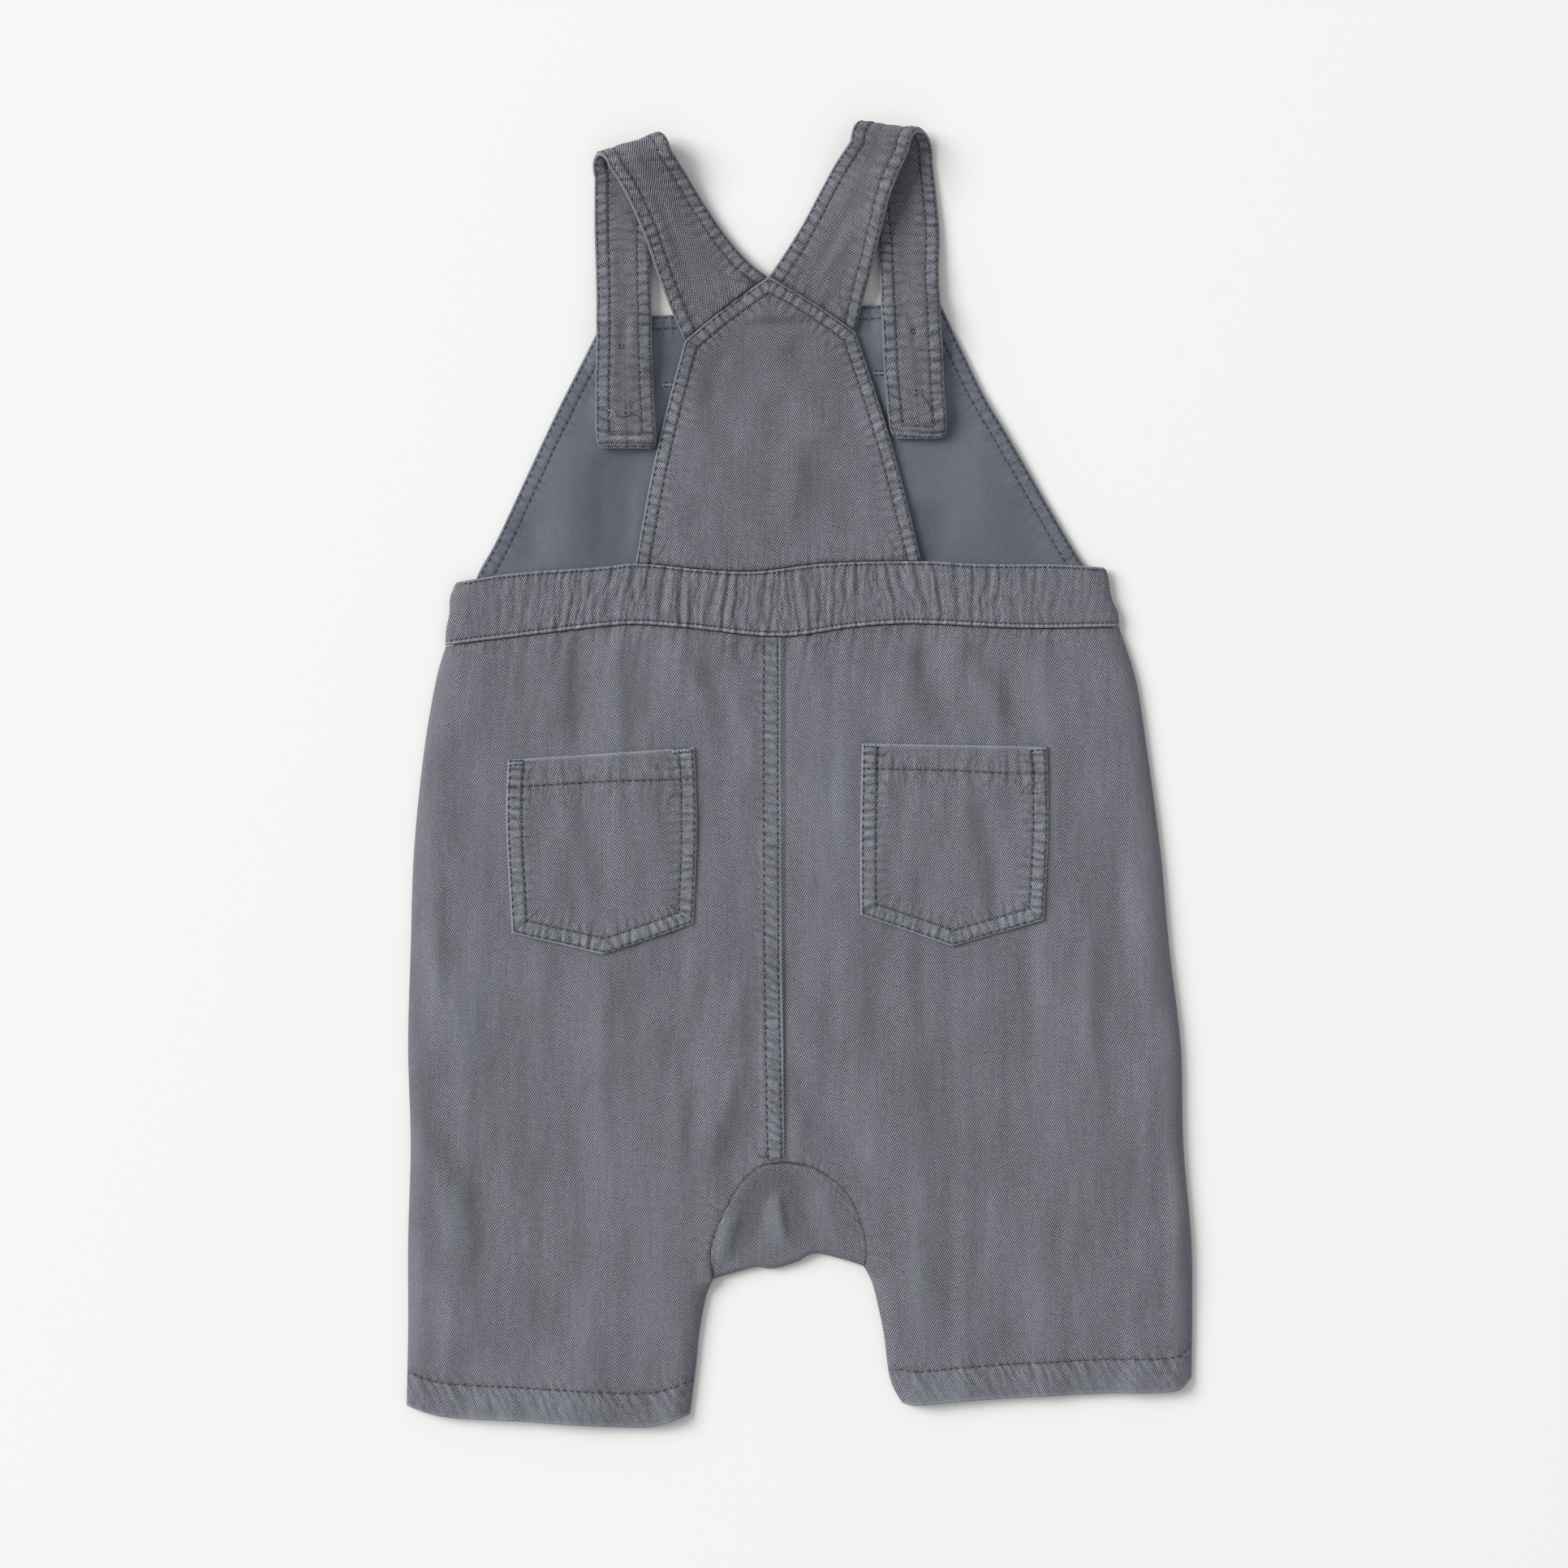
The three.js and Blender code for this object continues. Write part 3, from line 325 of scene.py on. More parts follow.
BIB_FOLDS = (
    (-0.0016, 0.166, 0.0100, 0.148, 0.005, -0.0006), (-0.0100, 0.145, -0.0060, 0.132, 0.005, -0.0005),
    (0.0070, 0.127, 0.0110, 0.106, 0.006, -0.0007), (0.0200, 0.114, 0.0180, 0.097, 0.005, -0.0005),
    (-0.0380, 0.106, -0.0430, 0.095, 0.005, -0.0005), (-0.0020, 0.124, -0.0020, 0.098, 0.005, 0.0005),
    (-0.0208, 0.1787, 0.0026, 0.1778, 0.0016, -0.0005), (-0.0190, 0.1822, 0.0060, 0.1810, 0.0016, 0.0003),
    (0.0095, 0.151, 0.0110, 0.140, 0.0030, -0.0003), (-0.0300, 0.166, -0.0350, 0.148, 0.0030, -0.0003),
)
LINING_FOLDS = (
    (-0.0725, 0.122, -0.0735, 0.085, 0.007, -0.0009), (-0.0905, 0.126, -0.0910, 0.084, 0.010, 0.0012),
    (-0.0640, 0.112, -0.0655, 0.088, 0.004, 0.0003), (-0.1080, 0.100, -0.1060, 0.084, 0.006, -0.0005),
    (0.0520, 0.104, 0.0490, 0.086, 0.007, -0.0009), (0.0700, 0.124, 0.0740, 0.094, 0.010, 0.0007),
    (0.0880, 0.108, 0.0900, 0.084, 0.007, -0.0005),
)
GUSSET_FOLDS = (
    (-0.0130, -0.160, -0.0240, -0.188, 0.0040, -0.0006), (-0.0050, -0.158, 0.0010, -0.184, 0.0040, -0.0007),
    (-0.0280, -0.176, -0.0310, -0.192, 0.0040, 0.0005), (-0.0090, -0.168, -0.0060, -0.186, 0.0050, 0.0005),
    (-0.0060, -0.165, -0.0020, -0.182, 0.0016, -0.0005), (-0.0170, -0.168, -0.0250, -0.190, 0.0018, -0.0004),
    (0.0090, -0.166, 0.0150, -0.186, 0.0040, 0.0003),
)
STRAP_FOLDS = (
    (-0.0689, 0.179, -0.0697, 0.168, 0.0016, -0.0008), (-0.0735, 0.180, -0.0725, 0.165, 0.0022, 0.0003),
    (0.0412, 0.184, 0.0450, 0.176, 0.0016, -0.0008), (0.0450, 0.176, 0.0442, 0.169, 0.0014, -0.0007),
    (-0.0690, 0.215, -0.0700, 0.196, 0.0022, -0.0003), (0.0430, 0.222, 0.0430, 0.198, 0.0024, -0.0003),
)

# Limits of the folds' relief, how much stronger than in the tables it is, and how far a fold wanders
LEAST_RELIEF = -0.0017
MOST_RELIEF = 0.0030
FOLD_STRENGTH = 3.2
LEG_FOLD_STRENGTH = 2.1
LINING_FOLD_STRENGTH = 1.9
FOLD_SWAY = 0.0011

# How far down the side the crotch arch starts and ends, and how far the ends' own curves reach
ARCH_START = 0.64
ARCH_END = 0.835
WAIST_FADE = 0.16
BIB_WAIST_FADE = 0.4

# Grid steps of the fine walls. An inner grid has one step for COARSE steps of the outer one.
COARSE = 4
LEG_GRID = {"seam": 256, "arch": 76, "inseam": 68, "roll": 16, "middle": 168, "seam_side": 12}
FRONT_GRID = {"seam": 92, "arch": 28, "inseam": 24, "middle": 52}
BIB_GRID = (120, 216)
OUTER_BIB_GRID = (48, 88)
BACK_BIB_GRID = (192, 184)
WAISTBAND_GRID = {"up": 44, "roll": 16, "middle": 500}
STRAP_GRID = {"across": 44, "near": 120, "fold": 28, "far": 208}
POCKET_GRID = (132, 124)
GUSSET_GRID = {"across": 104, "back": 72, "roll": 12, "front": 20}

# Weave: the ribs' lean and pitch, the direction in which it goes on down a cut edge, and how many
# beads, yarns, streaks and slubs run to a metre
TWILL_ANGLE = math.radians(58)
TWILL_PITCH = 0.00077
ACROSS_RIBS = np.array([math.sin(TWILL_ANGLE), -math.cos(TWILL_ANGLE)])
BEADS_PER_METRE = (2300.0, 5600.0, 0.0)
YARNS_PER_METRE = (3000.0, 1200.0)
STREAKS_PER_METRE = (1600.0, 45.0, 0)
WARP_PER_METRE = (2600.0, 150.0, 0)
WEFT_PER_METRE = (150.0, 2600.0, 0)

# Fine creases drawn at the seams: how strongly they are painted darker in their hollows and lighter on their
# crests (painted shade and highlight), and their depth; how much darker the straps are overall; and how dark
# painted shade makes the cloth at most
CREASE_PAINTED_SHADING = 0.85
CREASE_DEPTH = 0.0011
STRAP_DIMNESS = 0.10
MOST_SHADE = 0.7

# Colours, linear
DARK_TWILL = (0.022, 0.022, 0.031, 1)
LIGHT_TWILL = (0.318, 0.321, 0.363, 1)
# Colour of abraded cloth, also used as the painted highlight on crests, ridges and folded edges
WORN_AND_HIGHLIT_TWILL = (0.400, 0.425, 0.480, 1)
LINING_COLOUR = (0.122, 0.132, 0.163)
THREAD_COLOUR = (0.042, 0.042, 0.058)
TACK_COLOUR = (0.300, 0.320, 0.370)
TAIL_COLOUR = (0.560, 0.470, 0.340)
BUTTON_COLOUR = (0.070, 0.075, 0.090)


def lerp(start, end, share):
    return start + (end - start) * share


def smooth(value, start, end):
    share = np.clip((value - start) / (end - start), 0, 1)
    return share * share * (3 - 2 * share)


def plateau(value, rise_from, rise_to, fall_from, fall_to):
    """1 between two limits, with a soft step at each."""
    return smooth(value, rise_from, rise_to) * (1 - smooth(value, fall_from, fall_to))


def bell(value, width):
    """1 at zero, falling off to both sides."""
    return np.exp(-((value / width) ** 2))


def fading(distance, reach):
    """1 at no distance, dying away."""
    return np.exp(-distance / reach)


def raised(height, most=1):
    """The part of a relief above zero."""
    return np.clip(height, 0, most)


def sunk(height, most=1):
    """The depth of a relief below zero."""
    return np.clip(-height, 0, most)


def rounding(away, radius):
    """How far a folded edge has rounded off: 1 at the edge, 0 from radius inwards."""
    return 1 - np.sqrt(np.clip(1 - (1 - np.clip(away / radius, 0, 1)) ** 2, 0, 1))


def spline(points, t):
    """Points on a smooth curve through given ones; t runs from 0 to 1."""
    points = np.asarray(points, float)
    last = len(points) - 1
    place = np.clip(np.asarray(t, float), 0, 1) * last
    k = np.minimum(place.astype(int), last - 1)
    w = (place - k).reshape(k.shape + (1,) * (points.ndim - 1))
    before, start = points[np.maximum(k - 1, 0)], points[k]
    end, after = points[k + 1], points[np.minimum(k + 2, last)]
    leave, arrive = (end - before) / 2, (after - start) / 2
    bend = (2 * start - 2 * end + leave + arrive) * w**3
    return bend + (3 * end - 3 * start - 2 * leave - arrive) * w**2 + leave * w + start


def unit(vectors):
    """Vectors at length 1."""
    return vectors / np.linalg.norm(vectors, axis=-1, keepdims=True)


def lengths(points):
    """Length along a line of points, from its first one to each."""
    steps = np.linalg.norm(np.diff(points, axis=0), axis=1)
    return np.concatenate([[0], np.cumsum(steps)])


def even_spline(points, t):
    """As spline, with t an even share of the curve's length."""
    fine = np.linspace(0, 1, 401)
    run = lengths(spline(points, fine))
    return spline(points, np.interp(np.asarray(t) * run[-1], run, fine))


def graph(rows, x):
    """y as a smooth function of x through rows of x and y, from left to right."""
    xs, ys = np.asarray(rows, float).T
    order = np.arange(len(xs))
    before, after = np.maximum(order - 1, 0), np.minimum(order + 1, len(xs) - 1)
    slope = (ys[after] - ys[before]) / (xs[after] - xs[before])
    k = np.clip(np.searchsorted(xs, x) - 1, 0, len(xs) - 2)
    span, rise = xs[k + 1] - xs[k], ys[k + 1] - ys[k]
    t = np.clip((x - xs[k]) / span, 0, 1)
    leave, arrive = slope[k] * span - rise, rise - slope[k + 1] * span
    return ys[k] + rise * t + t * (1 - t) * (leave * (1 - t) + arrive * t)


def noise(x, y, size_x, size_y, seed):
    """Smooth random values from -1 to 1 with features of the given size."""
    cells = np.random.default_rng(seed).uniform(-1, 1, (128, 128))
    u, v = np.asarray(x) / size_x, np.asarray(y) / size_y
    i, j = np.floor(u).astype(int), np.floor(v).astype(int)
    u, v = smooth(u - i, 0, 1), smooth(v - j, 0, 1)
    near = lerp(cells[i % 128, j % 128], cells[(i + 1) % 128, j % 128], u)
    far = lerp(cells[i % 128, (j + 1) % 128], cells[(i + 1) % 128, (j + 1) % 128], u)
    return lerp(near, far, v)


def relief(folds, x, y, strength=1.0):
    """Height that a table of folds adds at a place. Each fold wanders a little and fades at its ends."""
    sway_x = x + FOLD_SWAY * noise(x, y, 0.020, 0.020, 7)
    sway_y = y + FOLD_SWAY * noise(x, y, 0.020, 0.020, 8)
    height = np.zeros(np.shape(x))
    for ax, ay, bx, by, width, rise in folds:
        along_x, along_y = bx - ax, by - ay
        t = ((sway_x - ax) * along_x + (sway_y - ay) * along_y) / (along_x**2 + along_y**2)
        near = np.clip(t, 0, 1)
        away = np.hypot(sway_x - ax - near * along_x, sway_y - ay - near * along_y)
        fade = plateau(t, -0.5, 0.1, 0.7, 1.35)
        height += rise * fade * (0.9 * bell(away, 1.15 * width) + 0.2 * fading(away, 0.5 * width))
    height = strength * height
    limit = np.where(height < 0, -LEAST_RELIEF, MOST_RELIEF)
    return limit * np.tanh(height / limit)


def ripples(along, across, pitch, seed):
    """Uneven rounded ridges with narrow valleys between: -1 in a valley, about 0.5 on a ridge."""
    phase = along / pitch + 0.45 * noise(along, across, 1.8 * pitch, 0.011, seed)
    size = 0.70 + 0.30 * noise(along, across, 1.3 * pitch, 0.018, seed + 1)
    return size * (1.5 * np.abs(np.sin(math.pi * phase)) ** 0.55 - 1)


def mound(x, y, spread):
    """Height of the mounds that the bib makes over the buttons."""
    away = np.min([np.hypot(x - bx, y - by) for bx, by in BUTTONS.values()], axis=0)
    return MOUND_RISE * (1 - smooth(away, MOUND_FLAT + spread, MOUND_END + spread))


def nearest(path, x, y):
    """Distance from each place to a path, and how far along the path its nearest point is."""
    path = np.asarray(path, float)
    run = lengths(path)
    best = np.full(np.shape(x), np.inf)
    along = np.zeros(np.shape(x))
    for k in range(len(path) - 1):
        (ax, ay), (bx, by) = path[k], path[k + 1]
        span = run[k + 1] - run[k]
        t = ((x - ax) * (bx - ax) + (y - ay) * (by - ay)) / span**2
        t = np.clip(t, 0, 1)
        away = np.hypot(x - ax - t * (bx - ax), y - ay - t * (by - ay))
        closer = away < best
        best = np.where(closer, away, best)
        along = np.where(closer, run[k] + t * span, along)
    return best, along


def inset(path, distance):
    """A path moved sideways to its right, with its corners kept."""
    path = np.asarray(path, float)
    steps = unit(np.diff(path, axis=0))
    normals = np.stack([steps[:, 1], -steps[:, 0]], axis=1)
    before = np.vstack([normals[:1], normals])
    after = np.vstack([normals, normals[-1:]])
    share = 1 + np.sum(before * after, axis=1)
    return path + distance * (before + after) / share[:, None]


def within_wall(detail, thickness):
    """Relief with its hollows softly held inside the cloth, so that it never cuts through."""
    deepest = 0.75 * thickness
    return np.where(detail < 0, deepest * np.tanh(detail / deepest), detail)


def puckered(away, along, inner_row, seed, pitch=0.0038):
    """Height and surface fields beside a double-stitched edge.

    The cloth between the two rows is drawn into short uneven ridges, its folded edge is rounded,
    each row of thread lies in a narrow furrow, and pulls run on past the inner row. The folded edge
    and the ridges' crests are painted lighter, painted highlight with abrasion, and the furrows and
    valleys are painted darker as painted shade.
    """
    ridges = ripples(along, away, pitch, seed)
    fine = noise(along, away, 0.0016, 0.0030, seed + 2)
    band = plateau(away, 0.0, EDGE_ROW + 0.0003, inner_row - 0.0008, inner_row + 0.0004)
    beyond = plateau(away, inner_row, inner_row + 0.0009, inner_row + 0.001, inner_row + 0.008)
    furrows = bell(away - EDGE_ROW, 0.00045) + bell(away - inner_row, ROW_HALF_WIDTH)
    height = PUCKER_RISE * ridges * band + PULL_RISE * ridges * beyond + 0.00007 * fine * (band + beyond)
    height += BAND_RISE * band - ROW_DEPTH * furrows - EDGE_ROUNDING * rounding(away, EDGE_RADIUS)
    high, low = raised(ridges), sunk(ridges)
    # Painted highlight with abrasion on the folded edge and the crests; painted shade in the furrows and
    # valleys
    fields = {
        "wear": 0.9 * bell(away, EDGE_RADIUS) + band * (0.10 + 0.85 * high) + 0.40 * high * beyond,
        "shade": 0.34 * furrows + 0.60 * low * band + 0.34 * low * beyond,
        "drawn": band + 0.6 * beyond,
        "along": along,
        "away": away,
    }
    return height, fields


def cloth_fields(wear, shade, *seams):
    """What a cloth's material reads at each point: its abrasion and painted highlight, its painted shade and
    the creases drawn at a seam.

    Each seam gives (strength, along, away), and where several reach a point the strongest one counts.
    """
    strengths, alongs, aways = (np.stack(part) for part in zip(*seams))
    pick = np.argmax(strengths, axis=0)[None]
    return {
        "wear": wear,
        "shade": np.clip(shade, 0, MOST_SHADE),
        "drawn": strengths.max(axis=0),
        "along": np.take_along_axis(alongs, pick, 0)[0],
        "away": np.take_along_axis(aways, pick, 0)[0],
    }


# Meshes


def make_mesh(name, points, faces, corner_uv=None, fields=None):
    """A smooth mesh object from points and arrays of three- or four-sided faces."""
    volume = 0.0
    for group in faces:
        for k in range(1, group.shape[1] - 1):
            a, b, c = points[group[:, 0]], points[group[:, k]], points[group[:, k + 1]]
            volume += np.einsum("ij,ij->", a, np.cross(b, c))
    if volume < 0:
        faces = [group[:, ::-1] for group in faces]
        corner_uv = None if corner_uv is None else [uv[:, ::-1] for uv in corner_uv]
    corners = np.concatenate([group.ravel() for group in faces])
    sizes = np.concatenate([np.full(len(group), group.shape[1]) for group in faces])
    mesh = bpy.data.meshes.new(name)
    mesh.vertices.add(len(points))
    mesh.vertices.foreach_set("co", np.asarray(points, np.float32).ravel())
    mesh.loops.add(len(corners))
    mesh.loops.foreach_set("vertex_index", corners.astype(np.int32))
    mesh.polygons.add(len(sizes))
    starts = np.concatenate([[0], np.cumsum(sizes)[:-1]])
    mesh.polygons.foreach_set("loop_start", starts.astype(np.int32))
    if corner_uv is not None:
        layer = mesh.uv_layers.new(name="cloth")
        flat = np.concatenate([uv.reshape(-1, 2) for uv in corner_uv])
        layer.data.foreach_set("uv", flat.astype(np.float32).ravel())
    for field, values in (fields or {}).items():
        attribute = mesh.attributes.new(field, "FLOAT", "POINT")
        attribute.data.foreach_set("value", np.asarray(values, np.float32).ravel())
    mesh.update(calc_edges=True)
    mesh.validate()
    mesh.shade_smooth()
    piece = bpy.data.objects.new(name, mesh)
    bpy.context.scene.collection.objects.link(piece)
    return piece


def grid_quads(rows, columns, first):
    at = first + np.arange(rows * columns).reshape(rows, columns)
    quads = np.stack([at[:-1, :-1], at[1:, :-1], at[1:, 1:], at[:-1, 1:]], axis=-1)
    return quads.reshape(-1, 4)


def rim_faces(rows, columns, first):
    """Triangles that join the rim of an outer grid to the rim of the coarser inner grid."""
    inner_columns = (columns - 1) // COARSE + 1
    last_row, last_column = rows - 1, columns - 1
    rim = [(r, 0) for r in range(last_row)] + [(last_row, c) for c in range(last_column)]
    rim += [(r, last_column) for r in range(last_row, 0, -1)] + [(0, c) for c in range(last_column, 0, -1)]
    outer = np.array([r * columns + c for r, c in rim])
    inner = np.array([first + (r // COARSE) * inner_columns + c // COARSE for r, c in rim[::COARSE]])
    hub = np.repeat(inner, COARSE)
    fans = np.stack([outer, hub, np.roll(outer, -1)], axis=1)
    ends = np.roll(outer, -1)[COARSE - 1 :: COARSE]
    links = np.stack([ends, inner, np.roll(inner, -1)], axis=1)
    return np.concatenate([fans, links])


def wall(name, outer, inner, uv, fields):
    """A closed wall between a fine outer grid of points and an inner one of every COARSE-th place."""
    rows, columns = outer.shape[:2]
    first = rows * columns
    points = np.concatenate([outer.reshape(-1, 3), inner.reshape(-1, 3)])
    outer_uv, inner_uv = uv.reshape(-1, 2), uv[::COARSE, ::COARSE]
    uv_flat = np.concatenate([outer_uv, inner_uv.reshape(-1, 2)])
    depth = np.linalg.norm(outer[::COARSE, ::COARSE] - inner, axis=-1)[..., None]
    rim_uv = np.concatenate([outer_uv, (inner_uv + depth * ACROSS_RIBS).reshape(-1, 2)])
    rim = rim_faces(rows, columns, first)
    inner_faces = grid_quads(*inner.shape[:2], first)[:, ::-1]
    faces = [grid_quads(rows, columns, 0), inner_faces, rim]
    corner_uv = [uv_flat[faces[0]], uv_flat[faces[1]], rim_uv[rim]]
    values = {
        field: np.concatenate([grid.ravel(), grid[::COARSE, ::COARSE].ravel()])
        for field, grid in fields.items()
    }
    return make_mesh(name, points, faces, corner_uv, values)


def dress(piece, material, stands_for=None):
    piece.data.materials.append(material)
    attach(piece, "root")
    if stands_for:
        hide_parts(stands_for)
    return piece


def stacked(x, y, z):
    return np.stack([x, y, z], axis=-1)


def turned(x, y, angle):
    """Cloth coordinates of a panel whose lengthwise grain leans by angle from +Y."""
    c, s = math.cos(angle), math.sin(angle)
    return np.stack([x * c + y * s, y * c - x * s], axis=-1)


# Materials


def node(tree, kind, inputs=None, **settings):
    made = tree.nodes.new(kind)
    for name, value in settings.items():
        setattr(made, name, value)
    for key, value in (inputs or {}).items():
        if isinstance(value, bpy.types.NodeSocket):
            tree.links.new(value, made.inputs[key])
        else:
            made.inputs[key].default_value = value
    return made


def calc(tree, operation, *values, clamp=False):
    inputs = dict(enumerate(values))
    return node(tree, "ShaderNodeMath", inputs, operation=operation, use_clamp=clamp).outputs[0]


def times(tree, a, b):
    return calc(tree, "MULTIPLY", a, b)


def vector(tree, operation, a, b):
    made = node(tree, "ShaderNodeVectorMath", {0: a, 1: b}, operation=operation)
    return made.outputs["Value" if operation == "DOT_PRODUCT" else "Vector"]


def speckle(tree, place, scale, detail=2.0):
    inputs = {"Vector": place, "Scale": scale, "Detail": detail}
    return node(tree, "ShaderNodeTexNoise", inputs).outputs["Fac"]


def blend(tree, share, a, b):
    inputs = {0: share, 6: a, 7: b}
    return node(tree, "ShaderNodeMix", inputs, data_type="RGBA").outputs[2]


def field(tree, name):
    return node(tree, "ShaderNodeAttribute", attribute_name=name).outputs["Fac"]


def around_one(tree, value, strength):
    """A factor about 1 from a value about 0.5."""
    return calc(tree, "MULTIPLY_ADD", value, 2 * strength, 1 - strength)


def toned(tree, colour, tone):
    """A colour times a grey factor."""
    tones = node(tree, "ShaderNodeCombineXYZ", {0: tone, 1: tone, 2: tone}).outputs[0]
    return vector(tree, "MULTIPLY", colour, tones)


def new_material(name, roughness, sheen):
    material = bpy.data.materials.new(name)
    material.use_nodes = True
    shader = material.node_tree.nodes["Principled BSDF"]
    shader.inputs["Roughness"].default_value = roughness
    shader.inputs["Specular IOR Level"].default_value = 0.2
    shader.inputs["Sheen Weight"].default_value = sheen
    shader.inputs["Sheen Roughness"].default_value = 0.5
    return material, material.node_tree, shader


def finish_cloth(tree, shader, colour, height, depth, strength):
    """Abrasion and painted highlight lighten the cloth, painted shade darkens it, the seam creases are
    painted darker and lighter as well as raised, and the weave is raised.
    """
    creases = seam_creases(tree)
    # Painted highlight with abrasion blends the colour towards the pale abraded colour
    share = calc(tree, "MULTIPLY", field(tree, "wear"), 0.5, clamp=True)
    worn_and_highlit = blend(tree, share, colour, WORN_AND_HIGHLIT_TWILL)
    # Painted shade darkens the colour
    dimmed = calc(tree, "SUBTRACT", 1.0, field(tree, "shade"), clamp=True)
    # The seam creases are painted into the colour too: darker in their hollows, lighter on their crests
    # (painted shade and highlight)
    dimmed = times(tree, dimmed, calc(tree, "MULTIPLY_ADD", creases, CREASE_PAINTED_SHADING, 1.0))
    tree.links.new(toned(tree, worn_and_highlit, dimmed), shader.inputs["Base Color"])
    drawn = {"Height": creases, "Distance": CREASE_DEPTH, "Strength": 0.8}
    drawn = node(tree, "ShaderNodeBump", drawn).outputs[0]
    weave = {"Height": height, "Distance": depth, "Strength": strength, "Normal": drawn}
    tree.links.new(node(tree, "ShaderNodeBump", weave).outputs[0], shader.inputs["Normal"])


def seam_creases(tree):
    """Fine uneven creases square to a seam, as deep there as the sewing draws the cloth in."""

    def creases(pitch, reach):
        place = {0: calc(tree, "DIVIDE", field(tree, "along"), pitch)}
        place[1] = calc(tree, "DIVIDE", field(tree, "away"), reach)
        return speckle(tree, node(tree, "ShaderNodeCombineXYZ", place).outputs[0], 1.0, 1.0)

    both = calc(tree, "MULTIPLY_ADD", creases(0.0008, 0.0020), 0.6, creases(0.0017, 0.0055))
    return times(tree, calc(tree, "SUBTRACT", both, 0.8), field(tree, "drawn"))


def twill_material():
    """Garment-dyed twill: diagonal ribs of uneven yarn, faint lengthwise streaks and soft mottling."""
    material, tree, shader = new_material("twill", 0.92, 0.12)
    uv = node(tree, "ShaderNodeUVMap", uv_map="cloth").outputs[0]
    c, s = math.cos(TWILL_ANGLE), math.sin(TWILL_ANGLE)
    wander = calc(tree, "MULTIPLY_ADD", speckle(tree, uv, 260.0), 0.0008, -0.0004)
    across = calc(tree, "ADD", vector(tree, "DOT_PRODUCT", uv, (s, -c, 0)), wander)
    along = vector(tree, "DOT_PRODUCT", uv, (c, s, 0))
    rib = calc(tree, "SINE", times(tree, across, 2 * math.pi / TWILL_PITCH))
    clearness = times(tree, around_one(tree, speckle(tree, uv, 230.0), 0.9), 0.5)
    rib = calc(tree, "MULTIPLY_ADD", rib, clearness, 0.5)
    yarn_place = {k: times(tree, place, YARNS_PER_METRE[k]) for k, place in enumerate((across, along))}
    yarn = speckle(tree, node(tree, "ShaderNodeCombineXYZ", yarn_place).outputs[0], 1.0, 1.0)
    wobble = times(tree, speckle(tree, uv, 300.0), 7.0)
    bead = calc(tree, "SINE", calc(tree, "ADD", vector(tree, "DOT_PRODUCT", uv, BEADS_PER_METRE), wobble))
    streak = speckle(tree, vector(tree, "MULTIPLY", uv, STREAKS_PER_METRE), 1.0, 2.0)
    patch = speckle(tree, uv, 420.0, 4.0)
    cloud = speckle(tree, uv, 30.0, 2.0)
    share = calc(tree, "MULTIPLY_ADD", rib, 1.15, times(tree, yarn, 0.95))
    share = calc(tree, "MULTIPLY_ADD", bead, 0.11, share)
    share = calc(tree, "SUBTRACT", share, 0.62, clamp=True)
    colour = blend(tree, share, DARK_TWILL, LIGHT_TWILL)
    tone = times(tree, around_one(tree, streak, 0.24), around_one(tree, patch, 0.22))
    tone = times(tree, tone, around_one(tree, cloud, 0.16))
    colour = toned(tree, colour, tone)
    height = calc(tree, "MULTIPLY_ADD", rib, 0.7, times(tree, yarn, 0.6))
    finish_cloth(tree, shader, colour, height, 0.0003, 0.35)
    return material


def lining_material():
    """Fine plain weave with slubs along and across."""
    material, tree, shader = new_material("lining", 0.9, 0.10)
    uv = node(tree, "ShaderNodeUVMap", uv_map="cloth").outputs[0]
    warp = speckle(tree, vector(tree, "MULTIPLY", uv, WARP_PER_METRE), 1.0, 2.0)
    weft = speckle(tree, vector(tree, "MULTIPLY", uv, WEFT_PER_METRE), 1.0, 2.0)
    cloud = speckle(tree, uv, 40.0, 3.0)
    weave = times(tree, around_one(tree, warp, 0.16), around_one(tree, weft, 0.16))
    tone = times(tree, weave, around_one(tree, cloud, 0.08))
    finish_cloth(tree, shader, toned(tree, LINING_COLOUR, tone), weave, 0.0001, 0.3)
    return material


def mottle(tree, shader, colour, scale, detail, strength):
    """An uneven colour, placed by the piece's own coordinates, which are returned."""
    place = node(tree, "ShaderNodeTexCoord").outputs["Object"]
    tone = around_one(tree, speckle(tree, place, scale, detail), strength)
    tree.links.new(toned(tree, colour, tone), shader.inputs["Base Color"])
    return place


def thread_material(name, colour):
    material, tree, shader = new_material(name, 0.7, 0.1)
    mottle(tree, shader, colour, 1500.0, 2.0, 0.35)
    return material


def button_material():
    """Dyed-to-match moulded plastic, faintly mottled, with fine turning marks."""
    material, tree, shader = new_material("button", 0.42, 0.0)
    grain = speckle(tree, mottle(tree, shader, BUTTON_COLOUR, 400.0, 3.0, 0.18), 2500.0, 2.0)
    bump = node(tree, "ShaderNodeBump", {"Height": grain, "Distance": 0.00005, "Strength": 0.3})
    tree.links.new(bump.outputs[0], shader.inputs["Normal"])
    return material


TWILL = twill_material()
LINING = lining_material()
THREAD = thread_material("thread", THREAD_COLOUR)
TACK_THREAD = thread_material("thread_light", TACK_COLOUR)
TAIL_THREAD = thread_material("thread_tail", TAIL_COLOUR)
BUTTON = button_material()


# Leg panels

LEGS = {
    "left": {"outward": -1, "side": SIDE_LEFT, "arch": ARCH_LEFT, "inseam": INSEAM_LEFT, "hem": HEM_LEFT},
    "right": {"outward": 1, "side": SIDE_RIGHT, "arch": ARCH_RIGHT, "inseam": INSEAM_RIGHT, "hem": HEM_RIGHT},
}
FRONT_WAIST = (WAIST[0], WAIST[-1])


